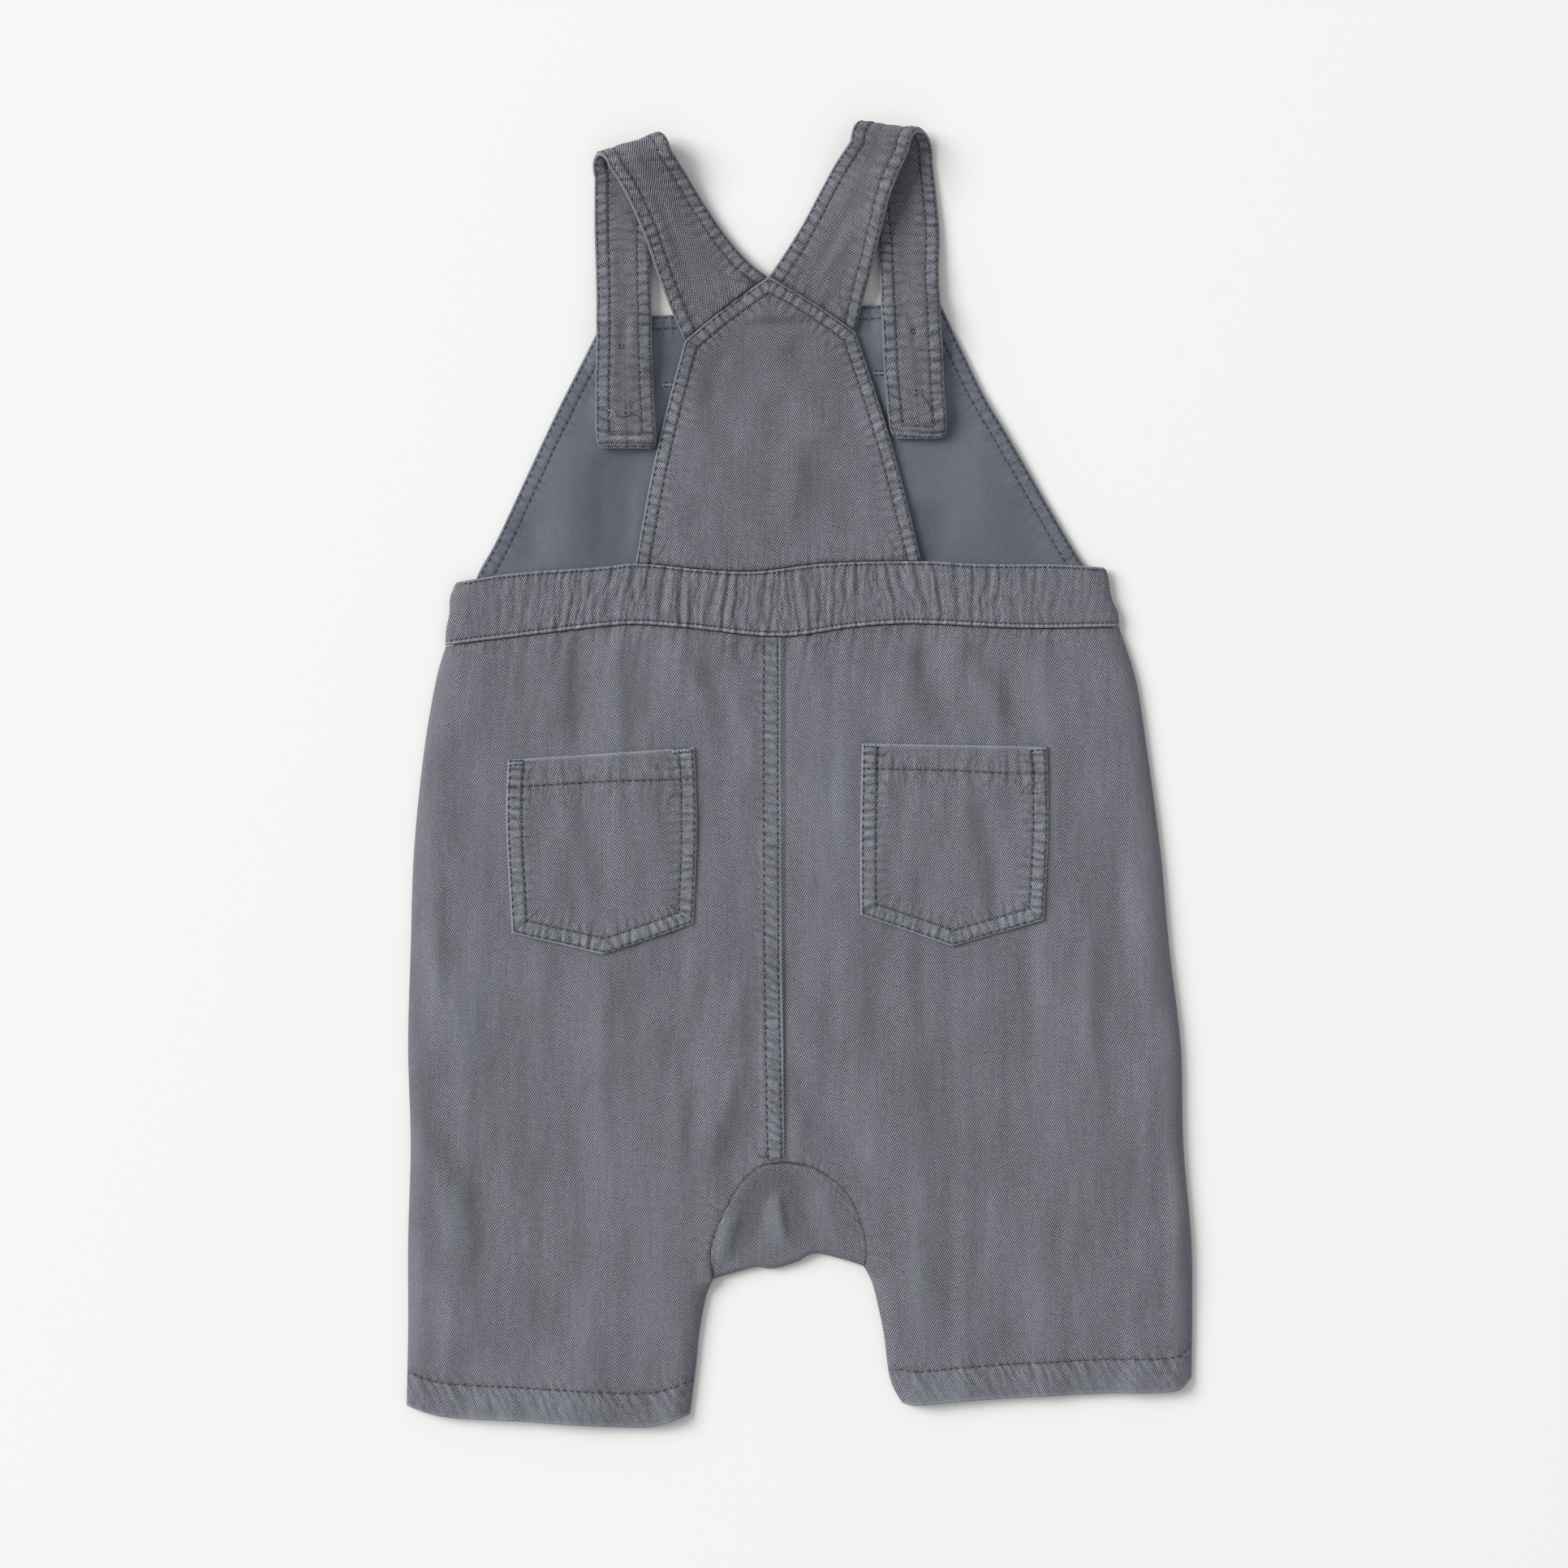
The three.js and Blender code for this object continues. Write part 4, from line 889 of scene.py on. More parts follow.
def leg_rows(leg, grid):
    """Outer and inner end of each row from waist to hem, how far down it is and how open it is."""
    stretches = (
        (grid["seam"], 0.0, ARCH_START, CENTRE_SEAM),
        (grid["arch"], ARCH_START, ARCH_END, leg["arch"]),
        (grid["inseam"], ARCH_END, 1.0, leg["inseam"]),
    )
    inner, down = [], []
    for count, start, end, path in stretches:
        t = np.linspace(0, 1, count + 1)[1 if down else 0 :]
        inner.append(even_spline(path, t))
        down.append(lerp(start, end, t))
    inner, down = np.concatenate(inner), np.concatenate(down)
    opened = smooth(down, ARCH_END - 0.005, ARCH_END + 0.02)
    tangent = unit(np.gradient(inner, axis=0))
    clear = (opened - 1) * SEAM_OVERLAP
    inner[:, 0] += leg["outward"] * np.abs(tangent[:, 1]) * clear
    inner[:, 1] += np.abs(tangent[:, 0]) * clear
    return even_spline(leg["side"], down), inner, down, opened


def fit_to_ends(leg, side, inner, down, x, y, waist):
    """Moves a leg's points so that its first row follows the waist and its last one the hem."""
    waist_weight = np.clip(1 - down / WAIST_FADE, 0, 1) ** 2
    hem_weight = np.clip((down - 1) / (1 - ARCH_END) + 1, 0, 1) ** 2
    slant = (x - side[:, None, 0]) / (inner - side)[:, None, 0]

    def shift(row, rows):
        straight_x = lerp(side[row, 0], inner[row, 0], slant)
        return graph(rows, straight_x) - lerp(side[row, 1], inner[row, 1], slant)

    top = shift(0, waist) - SEAM_GAP / 2
    return y + waist_weight[:, None] * top + hem_weight[:, None] * shift(-1, leg["hem"])


def centre_seam_x(y):
    """Where the centre-back seam runs at a height on the panel."""
    xs, ys = np.array(CENTRE_SEAM).T
    return np.interp(-y, -ys, xs)


def leg_form(x, y, down):
    """Outer height of a back leg panel, as the solid has it."""
    beside = CENTRE_SEAM[0][0] - x
    strip = plateau(beside, -0.0012, -0.0008, STRIP_WIDTH, STRIP_WIDTH + 0.0012)
    strip = STRIP_RISE * strip * (y > STRIP_FOOT)
    folds = relief(LEG_FOLDS, x, y, LEG_FOLD_STRENGTH)
    return BACK_TOP + strip + folds - HEM_SINK * smooth(down, 1 - HEM_FADE, 1)


GATHER_PITCH = (GATHER_RIGHT - GATHER_LEFT) / (GATHERS - 1)


def gather_ridges():
    """Places and heights of the waistband's gathers, with the dips between them."""
    k = np.arange(GATHERS)
    share = k / (GATHERS - 1)
    fullness = 0.45 + 0.55 * np.sin(np.pi * np.clip(share + 0.08, 0, 1))
    height = GATHER_RISE * (0.7 + 0.3 * np.sin(1.7 * k + 1)) * fullness
    x = GATHER_LEFT + GATHER_PITCH * (k + 0.22 * np.sin(2.4 * k))
    dips = np.stack([(x[1:] + x[:-1]) / 2, -height[:-1] / 2], axis=1)
    rows = np.concatenate([np.stack([x, height], axis=1), dips])
    return rows[np.argsort(rows[:, 0])]


GATHER_ROWS = gather_ridges()


def gather_height(x):
    within = plateau(x, GATHER_LEFT, GATHER_LEFT + 0.006, GATHER_RIGHT - 0.006, GATHER_RIGHT)
    return within * graph(GATHER_ROWS, x)


def leg_drape(x, y):
    """Height of the soft lengthwise folds in which a back leg panel lies."""
    below_waist = graph(WAIST, x) - y
    height = 0.00075 * noise(x + 0.05 * y, y, 0.0120, 0.085, 10) + 0.00040 * noise(x, y, 0.0060, 0.045, 11)
    return height * lerp(0.35, 1.0, smooth(below_waist, 0, 0.012))


class Surface:
    """Fine relief of a panel, its abrasion and painted highlight, its painted shade, and its seams, each part
    adding to what is there.
    """

    def __init__(self, height, wear, shade):
        self.height, self.wear, self.shade, self.seams = height, wear, shade, []

    def draw(self, strength, along, away):
        """A seam that draws fine creases in."""
        self.seams.append((strength, along, away))


def waist_detail(surface, x, below_waist):
    """Gathers that run down from the waist seam, and its groove."""
    slanted = x + GATHER_LEAN * below_waist
    gathers = ripples(slanted, below_waist, 0.0044, 14)
    surface.height += 0.7 * gather_height(x + 0.15 * below_waist) * fading(below_waist, 0.012)
    surface.height += 0.00030 * gathers * fading(below_waist, 0.0045)
    surface.height -= GROOVE_DEPTH * bell(below_waist, 0.0010)
    # Painted shade in the gathers' valleys below the waist
    surface.shade += 0.30 * sunk(gathers) * fading(below_waist, 0.005)
    surface.draw(0.8 * fading(below_waist, 0.007), slanted, below_waist)


def hem_detail(surface, x, above_hem):
    """The hem: raised below its stitches, with slanted ropes, and short pulls above them."""
    slanted = x + ROPE_LEAN * above_hem
    rope = ripples(slanted, above_hem, 0.0046, 16)
    above_row = above_hem - HEM_ROW_ABOVE
    in_hem = 1 - smooth(above_hem, HEM_ROW_ABOVE - 0.0008, HEM_ROW_ABOVE + 0.0008)
    above = (1 - in_hem) * (1 - smooth(above_hem, HEM_ROW_ABOVE, HEM_ROW_ABOVE + 0.008))
    row = bell(above_row, 0.0006)
    roped = 0.35 + 0.65 * bell(above_row, 0.007)
    surface.height += 0.00048 * rope * in_hem * roped + 0.00030 * rope * above
    surface.height += 0.00028 * in_hem - ROW_DEPTH * row
    # The rope crests and the hem's folded edge are painted lighter (painted highlight with abrasion); the
    # row's furrow and the ropes' valleys are painted darker (painted shade)
    surface.wear += in_hem * (0.06 + 0.55 * raised(rope) * roped) + 0.7 * bell(above_hem, 0.0010)
    surface.shade += 0.24 * row + 0.38 * sunk(rope) * in_hem * roped + 0.20 * sunk(rope) * above
    surface.draw(in_hem * roped + 0.7 * above, slanted, above_hem)


def felled_seam_detail(surface, x, y, beside, on_strip):
    """The raised strip beside the centre-back seam, drawn in between its two rows."""
    low, high = STRIP_ROWS
    slanted = y + CROSS_LEAN * x
    cross = ripples(slanted, beside, 0.0040, 18)
    band = plateau(beside, low - 0.0004, low + 0.0005, high - 0.0006, high + 0.0006)
    outside = plateau(beside, high, high + 0.001, high + 0.001, high + 0.007)
    rows = sum(bell(beside - at, ROW_HALF_WIDTH) for at in STRIP_ROWS)
    edge = bell(beside - 0.0006, 0.0006)
    beads = 0.6 + 0.4 * np.sin(2 * math.pi * y / WAIST_STITCH_PITCH)
    surface.height += on_strip * (0.00046 * cross * band + 0.00028 * cross * outside - 0.00020 * rows)
    surface.height += on_strip * 0.00025 * edge
    # Beaded folded edge and cross crests painted lighter (painted highlight with abrasion); rows, valleys and
    # the seam's edge painted darker (painted shade)
    surface.wear += on_strip * (0.9 * beads * edge + band * (0.08 + 0.75 * raised(cross)))
    surface.shade += on_strip * (0.24 * rows + 0.48 * sunk(cross) * band + 0.20 * sunk(cross) * outside)
    surface.shade += on_strip * 0.30 * bell(beside, 0.0003)
    surface.draw(on_strip * (band + 0.6 * outside), slanted, beside)


def arch_detail(surface, arch, x, y, down):
    """Pulls beside the gusset's seam, and its groove."""
    away, along = nearest(even_spline(arch, np.linspace(0, 1, 25)), x, y)
    pulls = ripples(along, away, 0.0065, 20)
    beside_arch = fading(away, 0.006) * smooth(down, ARCH_START - 0.06, ARCH_START)
    beside_arch *= 1 - smooth(down, ARCH_END - 0.01, ARCH_END + 0.03)
    groove = bell(away, 0.0006) * smooth(down, ARCH_START - 0.02, ARCH_START)
    groove *= 1 - smooth(down, ARCH_END - 0.005, ARCH_END + 0.01)
    surface.height += 0.00036 * pulls * beside_arch
    surface.height -= GROOVE_DEPTH * groove
    # Painted shade in the seam's groove and the pulls' valleys
    surface.shade += 0.55 * groove + 0.24 * sunk(pulls) * beside_arch
    surface.draw(0.8 * beside_arch, along, away)


def leg_detail(side, x, y, down):
    """Fine relief of a back leg panel, and the fields that its material reads."""
    leg = LEGS[side]
    below_waist = graph(WAIST, x) - y
    drape = leg_drape(x, y)
    folds = 0.5 * relief(LEG_FOLDS, x, y, 1.0) + drape
    height = relief(LEG_CREASES, x, y, LEG_FOLD_STRENGTH) + drape
    height += 0.00015 * noise(x, y, 0.0046, 0.014, 12) + 0.00005 * noise(x, y, 0.0022, 0.005, 13)
    # Random tone, and the fold ridges painted lighter as painted highlight; the waist groove and the fold
    # troughs are painted darker as painted shade
    wear = 0.10 * noise(x, y, 0.012, 0.05, 15) + 120 * raised(folds, 0.001)
    surface = Surface(height, wear, 0.22 * bell(below_waist, 0.0010) + 70 * sunk(folds, 0.001))
    waist_detail(surface, x, below_waist)
    hem_detail(surface, x, y - graph(leg["hem"], x))
    beside = centre_seam_x(y) - x
    on_strip = smooth(y, STRIP_FOOT - 0.003, STRIP_FOOT)
    if side == "left":
        felled_seam_detail(surface, x, y, beside, on_strip)
    else:
        groove = bell(sunk(beside, None), 0.0015) * on_strip
        surface.height -= GROOVE_DEPTH * groove
        # Painted shade in the right panel's seam groove
        surface.shade += 0.32 * groove
    arch_detail(surface, leg["arch"], x, y, down)
    return surface.height, cloth_fields(surface.wear, surface.shade, *surface.seams)


def back_leg(side):
    """A back leg panel that rolls down to the table at its side and inseam."""
    leg, grid = LEGS[side], LEG_GRID
    edge, inner_edge, down, opened = leg_rows(leg, grid)
    width = np.linalg.norm(inner_edge - edge, axis=1)[:, None]
    start = np.linspace(0, 1, grid["roll"] + 1)[:-1] * math.pi / 2
    end = np.linspace(1, 0, grid["seam_side"] + 1)[1:] * math.pi / 2
    middle = np.linspace(0, 1, grid["middle"] + 1)
    ones = np.ones((len(down), 1))
    radius = lerp(STRIP_WIDTH, ROLL_RADIUS, opened)[:, None]
    wall_end = (opened * BACK_WALL)[:, None]

    def insets(thick):
        first = thick * BACK_WALL + (ROLL_RADIUS - thick * BACK_WALL) * (1 - np.cos(start))
        last = thick * wall_end + (radius - thick * wall_end) * (1 - np.cos(end))
        centre = lerp(ROLL_RADIUS, width - radius, middle)
        return np.concatenate([first * ones, centre, width - last], axis=1)

    rise = np.concatenate([np.sin(start), np.ones(len(middle)), np.sin(end)])
    from_side = np.concatenate([np.ones(len(start) + len(middle)), np.zeros(len(end))])
    falls = np.maximum(from_side * (rise < 1), opened[:, None] * (1 - from_side))

    def plan(offset):
        at = lerp(edge[:, None], inner_edge[:, None], (offset / width)[..., None])
        x = at[..., 0]
        return x, fit_to_ends(leg, edge, inner_edge, down, x, at[..., 1], WAIST)

    deep = down[:, None]
    x, y = plan(insets(0))
    detail, fields = leg_detail(side, x, y, deep)
    top = leg_form(x, y, deep) + detail * rise
    rim = lerp(top - SEAM_DIP, BACK_BASE, falls)
    outer = stacked(x, y, lerp(rim, top, rise))

    x_in, y_in = (at[::COARSE, ::COARSE] for at in plan(insets(1)))
    hem = smooth(deep, 1 - HEM_FADE, 1)
    ceiling = BACK_TOP - HEM_SINK * hem - BACK_WALL - HEM_EXTRA_WALL * hem
    ceiling = ceiling + np.minimum(relief(LEG_FOLDS, x, y, LEG_FOLD_STRENGTH) + detail, 0)
    z_in = lerp(lerp(ceiling, BACK_BASE, falls), ceiling, rise)[::COARSE, ::COARSE]
    inner = stacked(x_in, y_in, z_in)
    run = np.concatenate([ROLL_RADIUS * (start - math.pi / 2), np.zeros(len(middle) + len(end))])
    uv = turned(x + leg["outward"] * -run, y, leg["outward"] * math.radians(1.5))
    piece = wall(f"cloth_leg_back_{side}", outer, inner, uv, fields)
    dress(piece, TWILL, f"leg_back_{side}")
    return piece


def front_leg(side):
    """A hidden flat panel under the back leg."""
    leg, grid = LEGS[side], FRONT_GRID
    edge, inner_edge, down, opened = leg_rows(leg, grid)
    width = np.linalg.norm(inner_edge - edge, axis=1)[:, None]
    share = np.linspace(0, 1, grid["middle"] + 1)
    offset = lerp(FRONT_INSET, width - opened[:, None] * FRONT_INSET, share)
    at = lerp(edge[:, None], inner_edge[:, None], (offset / width)[..., None])
    x = at[..., 0]
    y = fit_to_ends(leg, edge, inner_edge, down, x, at[..., 1], FRONT_WAIST)
    outer = stacked(x, y, np.full(x.shape, CLOTH))
    inner = stacked(x, y, np.zeros(x.shape))[::COARSE, ::COARSE]
    flat = {"wear": np.zeros(x.shape), "shade": np.zeros(x.shape)}
    piece = wall(f"cloth_leg_front_{side}", outer, inner, turned(x, y, 0), flat)
    dress(piece, TWILL, f"leg_front_{side}")


# Bibs


def bib_layer(name, node_name, material, base, counts):
    """One layer of the front bib. The lining has hems and folds, the hidden outer layer is plain."""
    down = np.linspace(0, 1, counts[0] + 1)
    t = np.linspace(0, 1, counts[1] + 1)
    at = lerp(even_spline(BIB_LEFT, down)[:, None], even_spline(BIB_RIGHT, down)[:, None], t[None, :, None])
    weight = np.clip((down - 1) / BIB_WAIST_FADE + 1, 0, 1)[:, None] ** 2
    x = at[..., 0]
    foot = lerp(np.array(BIB_LEFT[-1]), np.array(BIB_RIGHT[-1]), t[:, None])
    y = at[..., 1] + weight * (graph(FRONT_WAIST, foot[:, 0]) + SEAM_GAP / 2 - foot[:, 1])
    lift = mound(x, y, 0)
    fields = {"wear": np.zeros(x.shape), "shade": np.zeros(x.shape)}
    detail = np.zeros(x.shape)
    if node_name == "bib_lining":
        outline = [*reversed(BIB_LEFT[:-1]), *BIB_RIGHT[:-1]]
        away, along = nearest(outline, x, y)
        hem, fields = puckered(away, along, INNER_ROW, 31, 0.0046)
        folds = relief(LINING_FOLDS, x, y, LINING_FOLD_STRENGTH)
        detail = 0.7 * hem + folds
        detail += 0.00045 * noise(x, y, 0.015, 0.034, 33) + 0.00008 * noise(x, y, 0.004, 0.008, 34)
        # The lining's hem keeps a little of the painted highlight, and its fold troughs get painted shade
        fields = {**fields, "wear": 0.30 * fields["wear"], "drawn": 0.6 * fields["drawn"]}
        fields["shade"] = 0.7 * fields["shade"] + 130 * sunk(folds, 0.002)
    outer = stacked(x, y, base + CLOTH + lift + within_wall(detail, CLOTH))
    inner = stacked(x, y, base + lift)[::COARSE, ::COARSE]
    piece = wall(name, outer, inner, turned(x, y, 0), fields)
    dress(piece, material, node_name)
    return piece


def yoke(t, gap):
    """The back bib's pointed top: 0 at its left corner, 0.5 at the point, 1 at the right."""
    t = np.asarray(t, float)[..., None]
    is_left = t <= 0.5
    start = np.where(is_left, YOKE_LEFT, YOKE_APEX)
    end = np.where(is_left, YOKE_APEX, YOKE_RIGHT)
    part = np.where(is_left, t * 2, t * 2 - 1)
    step = unit(end - start)
    out = YOKE_BOW * np.sin(math.pi * part) + gap
    return lerp(start, end, part) + out * np.stack([-step[..., 1], step[..., 0]], axis=-1)


def back_bib_plan(up, t):
    """x and y at a share of the way up the back bib and a share of the way across."""
    foot = np.interp(t, [0, 0.5, 1], BACK_BIB_FOOT)
    foot_y = graph(WAISTBAND_UPPER, foot) + SEAM_GAP / 2
    top = yoke(t, 0)
    bow = BIB_SIDE_BOW * (t * 2 - 1) * np.sin(math.pi * up)
    return lerp(foot, top[..., 0], up) + bow, lerp(foot_y, top[..., 1], up)


def back_bib_edge():
    """The bib's sides and pointed top, from its left foot round to its right foot."""
    side = np.linspace(0, 1, 17)
    left = np.stack(back_bib_plan(side, np.zeros(17)), axis=1)
    right = np.stack(back_bib_plan(side[::-1], np.ones(17)), axis=1)
    return np.concatenate([left, yoke(np.linspace(0, 1, 25), 0)[1:-1], right])


def back_bib():
    """The back bib, hemmed all round but at its foot, where the waistband draws it in."""
    up = np.linspace(0, 1, BACK_BIB_GRID[0] + 1)[:, None]
    t = np.linspace(0, 1, BACK_BIB_GRID[1] + 1)[None, :]
    x, y = back_bib_plan(up, np.broadcast_to(t, (len(up), t.shape[1])))
    away, along = nearest(back_bib_edge(), x, y)
    hem, fields = puckered(away, along, INNER_ROW, 41)
    above_foot = y - graph(WAISTBAND_UPPER, x)
    pulls = ripples(x, above_foot, 0.0046, 43) * fading(above_foot, 0.005)
    folds = relief(BIB_FOLDS, x, y, 0.7 * FOLD_STRENGTH)
    detail = hem + folds + 0.00034 * pulls
    detail -= 0.0004 * bell(above_foot, 0.001)
    detail += 0.00090 * noise(x + 0.2 * y, y, 0.0125, 0.036, 44) + 0.00022 * noise(x, y, 0.0052, 0.013, 45)
    outer = stacked(x, y, BACK_BIB_BASE + BACK_BIB_WALL + within_wall(detail, BACK_BIB_WALL))
    inner = stacked(x, y, np.full(x.shape, BACK_BIB_BASE))[::COARSE, ::COARSE]
    # Painted shade at the foot's groove, in the pulls' valleys and the fold troughs; random darker blotches;
    # and darker towards the top
    shade = fields["shade"] + 0.3 * bell(above_foot, 0.0012) + 0.3 * sunk(pulls)
    shade += 50 * sunk(folds, 0.0015) + 0.10 * np.clip(noise(x, y, 0.014, 0.030, 46), 0, 1)
    shade += 0.12 * smooth(above_foot, 0.055, 0.085)
    seams = (fields["drawn"], along, away), (0.8 * fading(above_foot, 0.007), x, above_foot)
    fields = cloth_fields(fields["wear"], shade, *seams)
    piece = wall("cloth_bib_back", outer, inner, turned(x, y, 0), fields)
    dress(piece, TWILL, "bib_back")
    return piece


# Waistband


def waistband():
    """The gathered casing, with a stitched row along each edge."""
    grid = WAISTBAND_GRID
    up = np.linspace(0, 1, grid["up"] + 1)[:, None]
    left, right = graph(WAISTBAND_LEFT, up), graph(WAISTBAND_RIGHT, up)
    start = np.linspace(0, 1, grid["roll"] + 1)[:-1] * math.pi / 2
    middle = np.linspace(0, 1, grid["middle"] + 1)
    rise = np.concatenate([np.sin(start), np.ones(len(middle)), np.sin(start)[::-1]])
    ones = np.ones((len(up), 1))

    def plan(thick):
        rolled = thick * BACK_WALL + (ROLL_RADIUS - thick * BACK_WALL) * (1 - np.cos(start))
        centre = lerp(left + ROLL_RADIUS, right - ROLL_RADIUS, middle)
        x = np.concatenate([left + rolled * ones, centre, right - rolled[::-1] * ones], axis=1)
        low, high = graph(WAIST, x) + SEAM_GAP / 2, graph(WAISTBAND_UPPER, x) - SEAM_GAP / 2
        return x, lerp(low, high, up)

    x, y = plan(0)
    low, high = y - graph(WAIST, x), graph(WAISTBAND_UPPER, x) - y
    above_middle = y - (graph(WAIST, x) + graph(WAISTBAND_UPPER, x)) / 2
    lean = 0.20 * noise(x, 0 * y, 0.016, 1.0, 50) * above_middle
    sway = x + lean + 0.0009 * noise(x, y, 0.021, 0.013, 51) + 0.0005 * noise(x, y, 0.008, 0.007, 52)
    inside = plateau(x, GATHER_LEFT - 0.004, GATHER_LEFT + 0.03, GATHER_RIGHT - 0.025, GATHER_RIGHT + 0.008)
    edges = fading(low, WAISTBAND_EDGE_REACH) + fading(high, WAISTBAND_EDGE_REACH)
    pinched = 0.60 + 0.40 * np.sin(math.pi * up) ** 0.7
    broad = ripples(sway, y, 0.0060, 53)
    fine = ripples(sway, y, 0.0036, 55)
    detail = 0.6 * gather_height(sway) * pinched
    gathered = 0.35 + 0.65 * inside
    gathers = WAISTBAND_GATHER_RISE * broad * pinched + WAISTBAND_GATHER_RISE * fine * (0.50 + 0.50 * edges)
    detail += gathered * gathers
    detail += 0.00008 * noise(x, y, 0.0022, 0.004, 57)
    rows = bell(low - WAISTBAND_LOW_ROW, ROW_HALF_WIDTH) + bell(high - WAISTBAND_HIGH_ROW, ROW_HALF_WIDTH)
    ridge = bell(low - 0.0010, 0.0005)
    beads = 0.5 + 0.5 * np.sin(2 * math.pi * x / WAIST_STITCH_PITCH)
    detail += (0.00022 + 0.00020 * beads) * ridge - 0.00008 * rows
    detail -= 0.0006 * bell(low, 0.0004) + 0.0006 * bell(high, 0.0005)
    # Crests, the beaded ridge above the lower edge and the top edge are painted lighter (painted highlight
    # with abrasion); a line along the lower edge, the rows and the valleys are painted darker (painted shade)
    crests = 0.6 * raised(broad) + 0.6 * raised(fine) * edges
    valleys = 0.6 * sunk(broad) + 0.7 * sunk(fine) * (0.4 + 0.6 * edges)
    wear = (0.6 + 0.7 * beads) * ridge + 0.8 * bell(high, 0.0008) + 0.45 * crests * inside
    shade = 0.25 * bell(low, 0.0004) + 0.30 * rows + 0.60 * valleys * (0.3 + 0.7 * inside)
    outer = stacked(x, y, lerp(WAISTBAND_BASE, WAISTBAND_TOP + detail, rise))
    x_in, y_in = (at[::COARSE, ::COARSE] for at in plan(1))
    z_in = lerp(WAISTBAND_BASE, WAISTBAND_TOP - WAISTBAND_WALL, np.broadcast_to(rise, x.shape))
    inner = stacked(x_in, y_in, z_in[::COARSE, ::COARSE])
    drawn = gathered * (0.55 + 0.45 * np.clip(edges, 0, 1))
    fields = cloth_fields(wear, shade, (drawn, sway, y))
    piece = wall("cloth_waistband", outer, inner, turned(x, y, 0), fields)
    dress(piece, TWILL, "waistband_back")
    return piece


# Straps


def strap_middle(side):
    """Points across a strap at each section along it, on the middle of its wall."""
    table, is_left = STRAPS[side], side == "left"
    t = np.linspace(0, 1, STRAP_GRID["across"] + 1)
    at = yoke(t / 2 if is_left else 1 - t / 2, SEAM_GAP)
    shift = (-SEAM_GAP if is_left else SEAM_GAP) * t
    seam = stacked(at[:, 0] + shift, at[:, 1], np.full(len(t), STRAP_SEAM_Z))
    if not is_left:
        seam = seam[::-1]

    def section(row, z):
        return stacked(lerp(row[0], row[2], t), lerp(row[1], row[3], t), z + 0 * t)

    near = [section(row, lerp(row[4], row[5], t)) for row in table["near"]]
    near = spline([seam, *near], np.linspace(0, 1, STRAP_GRID["near"] + 1))
    far = spline([section(row, 0) for row in table["far"]], np.linspace(0, 1, STRAP_GRID["far"] + 1))
    descent = smooth(far[..., 1], STRAP_DESCENT_FROM, STRAP_DESCENT_TO)
    far[..., 2] = lerp(STRAP_FAR_Z, FOLD_LOW_Z, descent) + mound(far[..., 0], far[..., 1], STRAP_MOUND_SPREAD)
    start, end, crest = near[-1], far[0], section(table["crest"], 0)
    angle = np.linspace(0, math.pi, STRAP_GRID["fold"] + 1)[1:-1, None, None]
    swing, out = (1 - np.cos(angle)) / 2, np.sin(angle)
    reach = (crest - (start + end) / 2) * [1, 1, 0]
    return np.concatenate([near, lerp(start, end, swing) + reach * out, far])


def normals_of(grid):
    along, sideways = np.gradient(grid, axis=0), np.gradient(grid, axis=1)
    return unit(np.cross(along, sideways))


def strap(side):
    """A strap's two faces, each with its sewing rows drawn in where that face is uppermost."""
    middle = strap_middle(side)
    normal = normals_of(middle)
    if normal[0, 5, 2] < 0:
        normal = -normal
    widths = np.linalg.norm(middle[:, -1] - middle[:, 0], axis=1)
    width = widths[:, None]
    from_a = width * np.linspace(0, 1, middle.shape[1])
    runs = lengths(middle[:, middle.shape[1] // 2])
    run = runs[:, None]
    fold_at = runs[STRAP_GRID["near"] + STRAP_GRID["fold"] // 2]
    away = np.minimum(from_a, width - from_a)
    end_row = np.minimum(away, runs[-1] - run)
    faces = []
    for sign, seed in ((1, 61), (-1, 66)):
        seed = seed + (20 if side == "right" else 0)
        shown = smooth(sign * (fold_at - run), -0.006, 0.002)
        along = run + np.where(from_a > width / 2, 0.05, 0.0)
        hem, fields = puckered(end_row, along, INNER_ROW, seed, 0.0042)
        ridges = noise(from_a, run, 0.0035, 0.022, seed + 3)
        detail = hem + 0.00045 * ridges * smooth(away, INNER_ROW - 0.001, INNER_ROW + 0.002)
        detail += 0.00034 * noise(from_a, run, 0.006, 0.014, seed + 4)
        pulls = ripples(from_a, run, 0.0050, 69) * fading(run, 0.007)
        creases = ripples(from_a, run, 0.0062, 70) * fading(np.abs(run - fold_at), 0.007)
        detail += 0.00034 * pulls + 0.00026 * creases + relief(STRAP_FOLDS, middle[..., 0], middle[..., 1])
        detail = np.where(detail > 0, detail * lerp(0.2, 1.0, shown), detail)
        half = STRAP_WALL / 2
        surface = middle + sign * normal * (half + within_wall(detail, half))[..., None]
        # The strap is darker overall; a painted shadow line where it runs under the yoke's edge, and painted
        # shade in the valleys of the pulls and ridges
        shade = STRAP_DIMNESS + fields["shade"] + 0.3 * bell(run, 0.0012)
        shade += 0.3 * sunk(pulls) + 0.12 * sunk(ridges)
        yoke_pulls = 0.8 * fading(run, 0.008) + 0 * away
        seams = (fields["drawn"], along, away), (yoke_pulls, from_a, run + 0 * away)
        faces.append((surface, cloth_fields(fields["wear"], shade, *seams), sign * normal))
    return faces, turned(from_a, np.broadcast_to(run, from_a.shape), 0), runs, widths


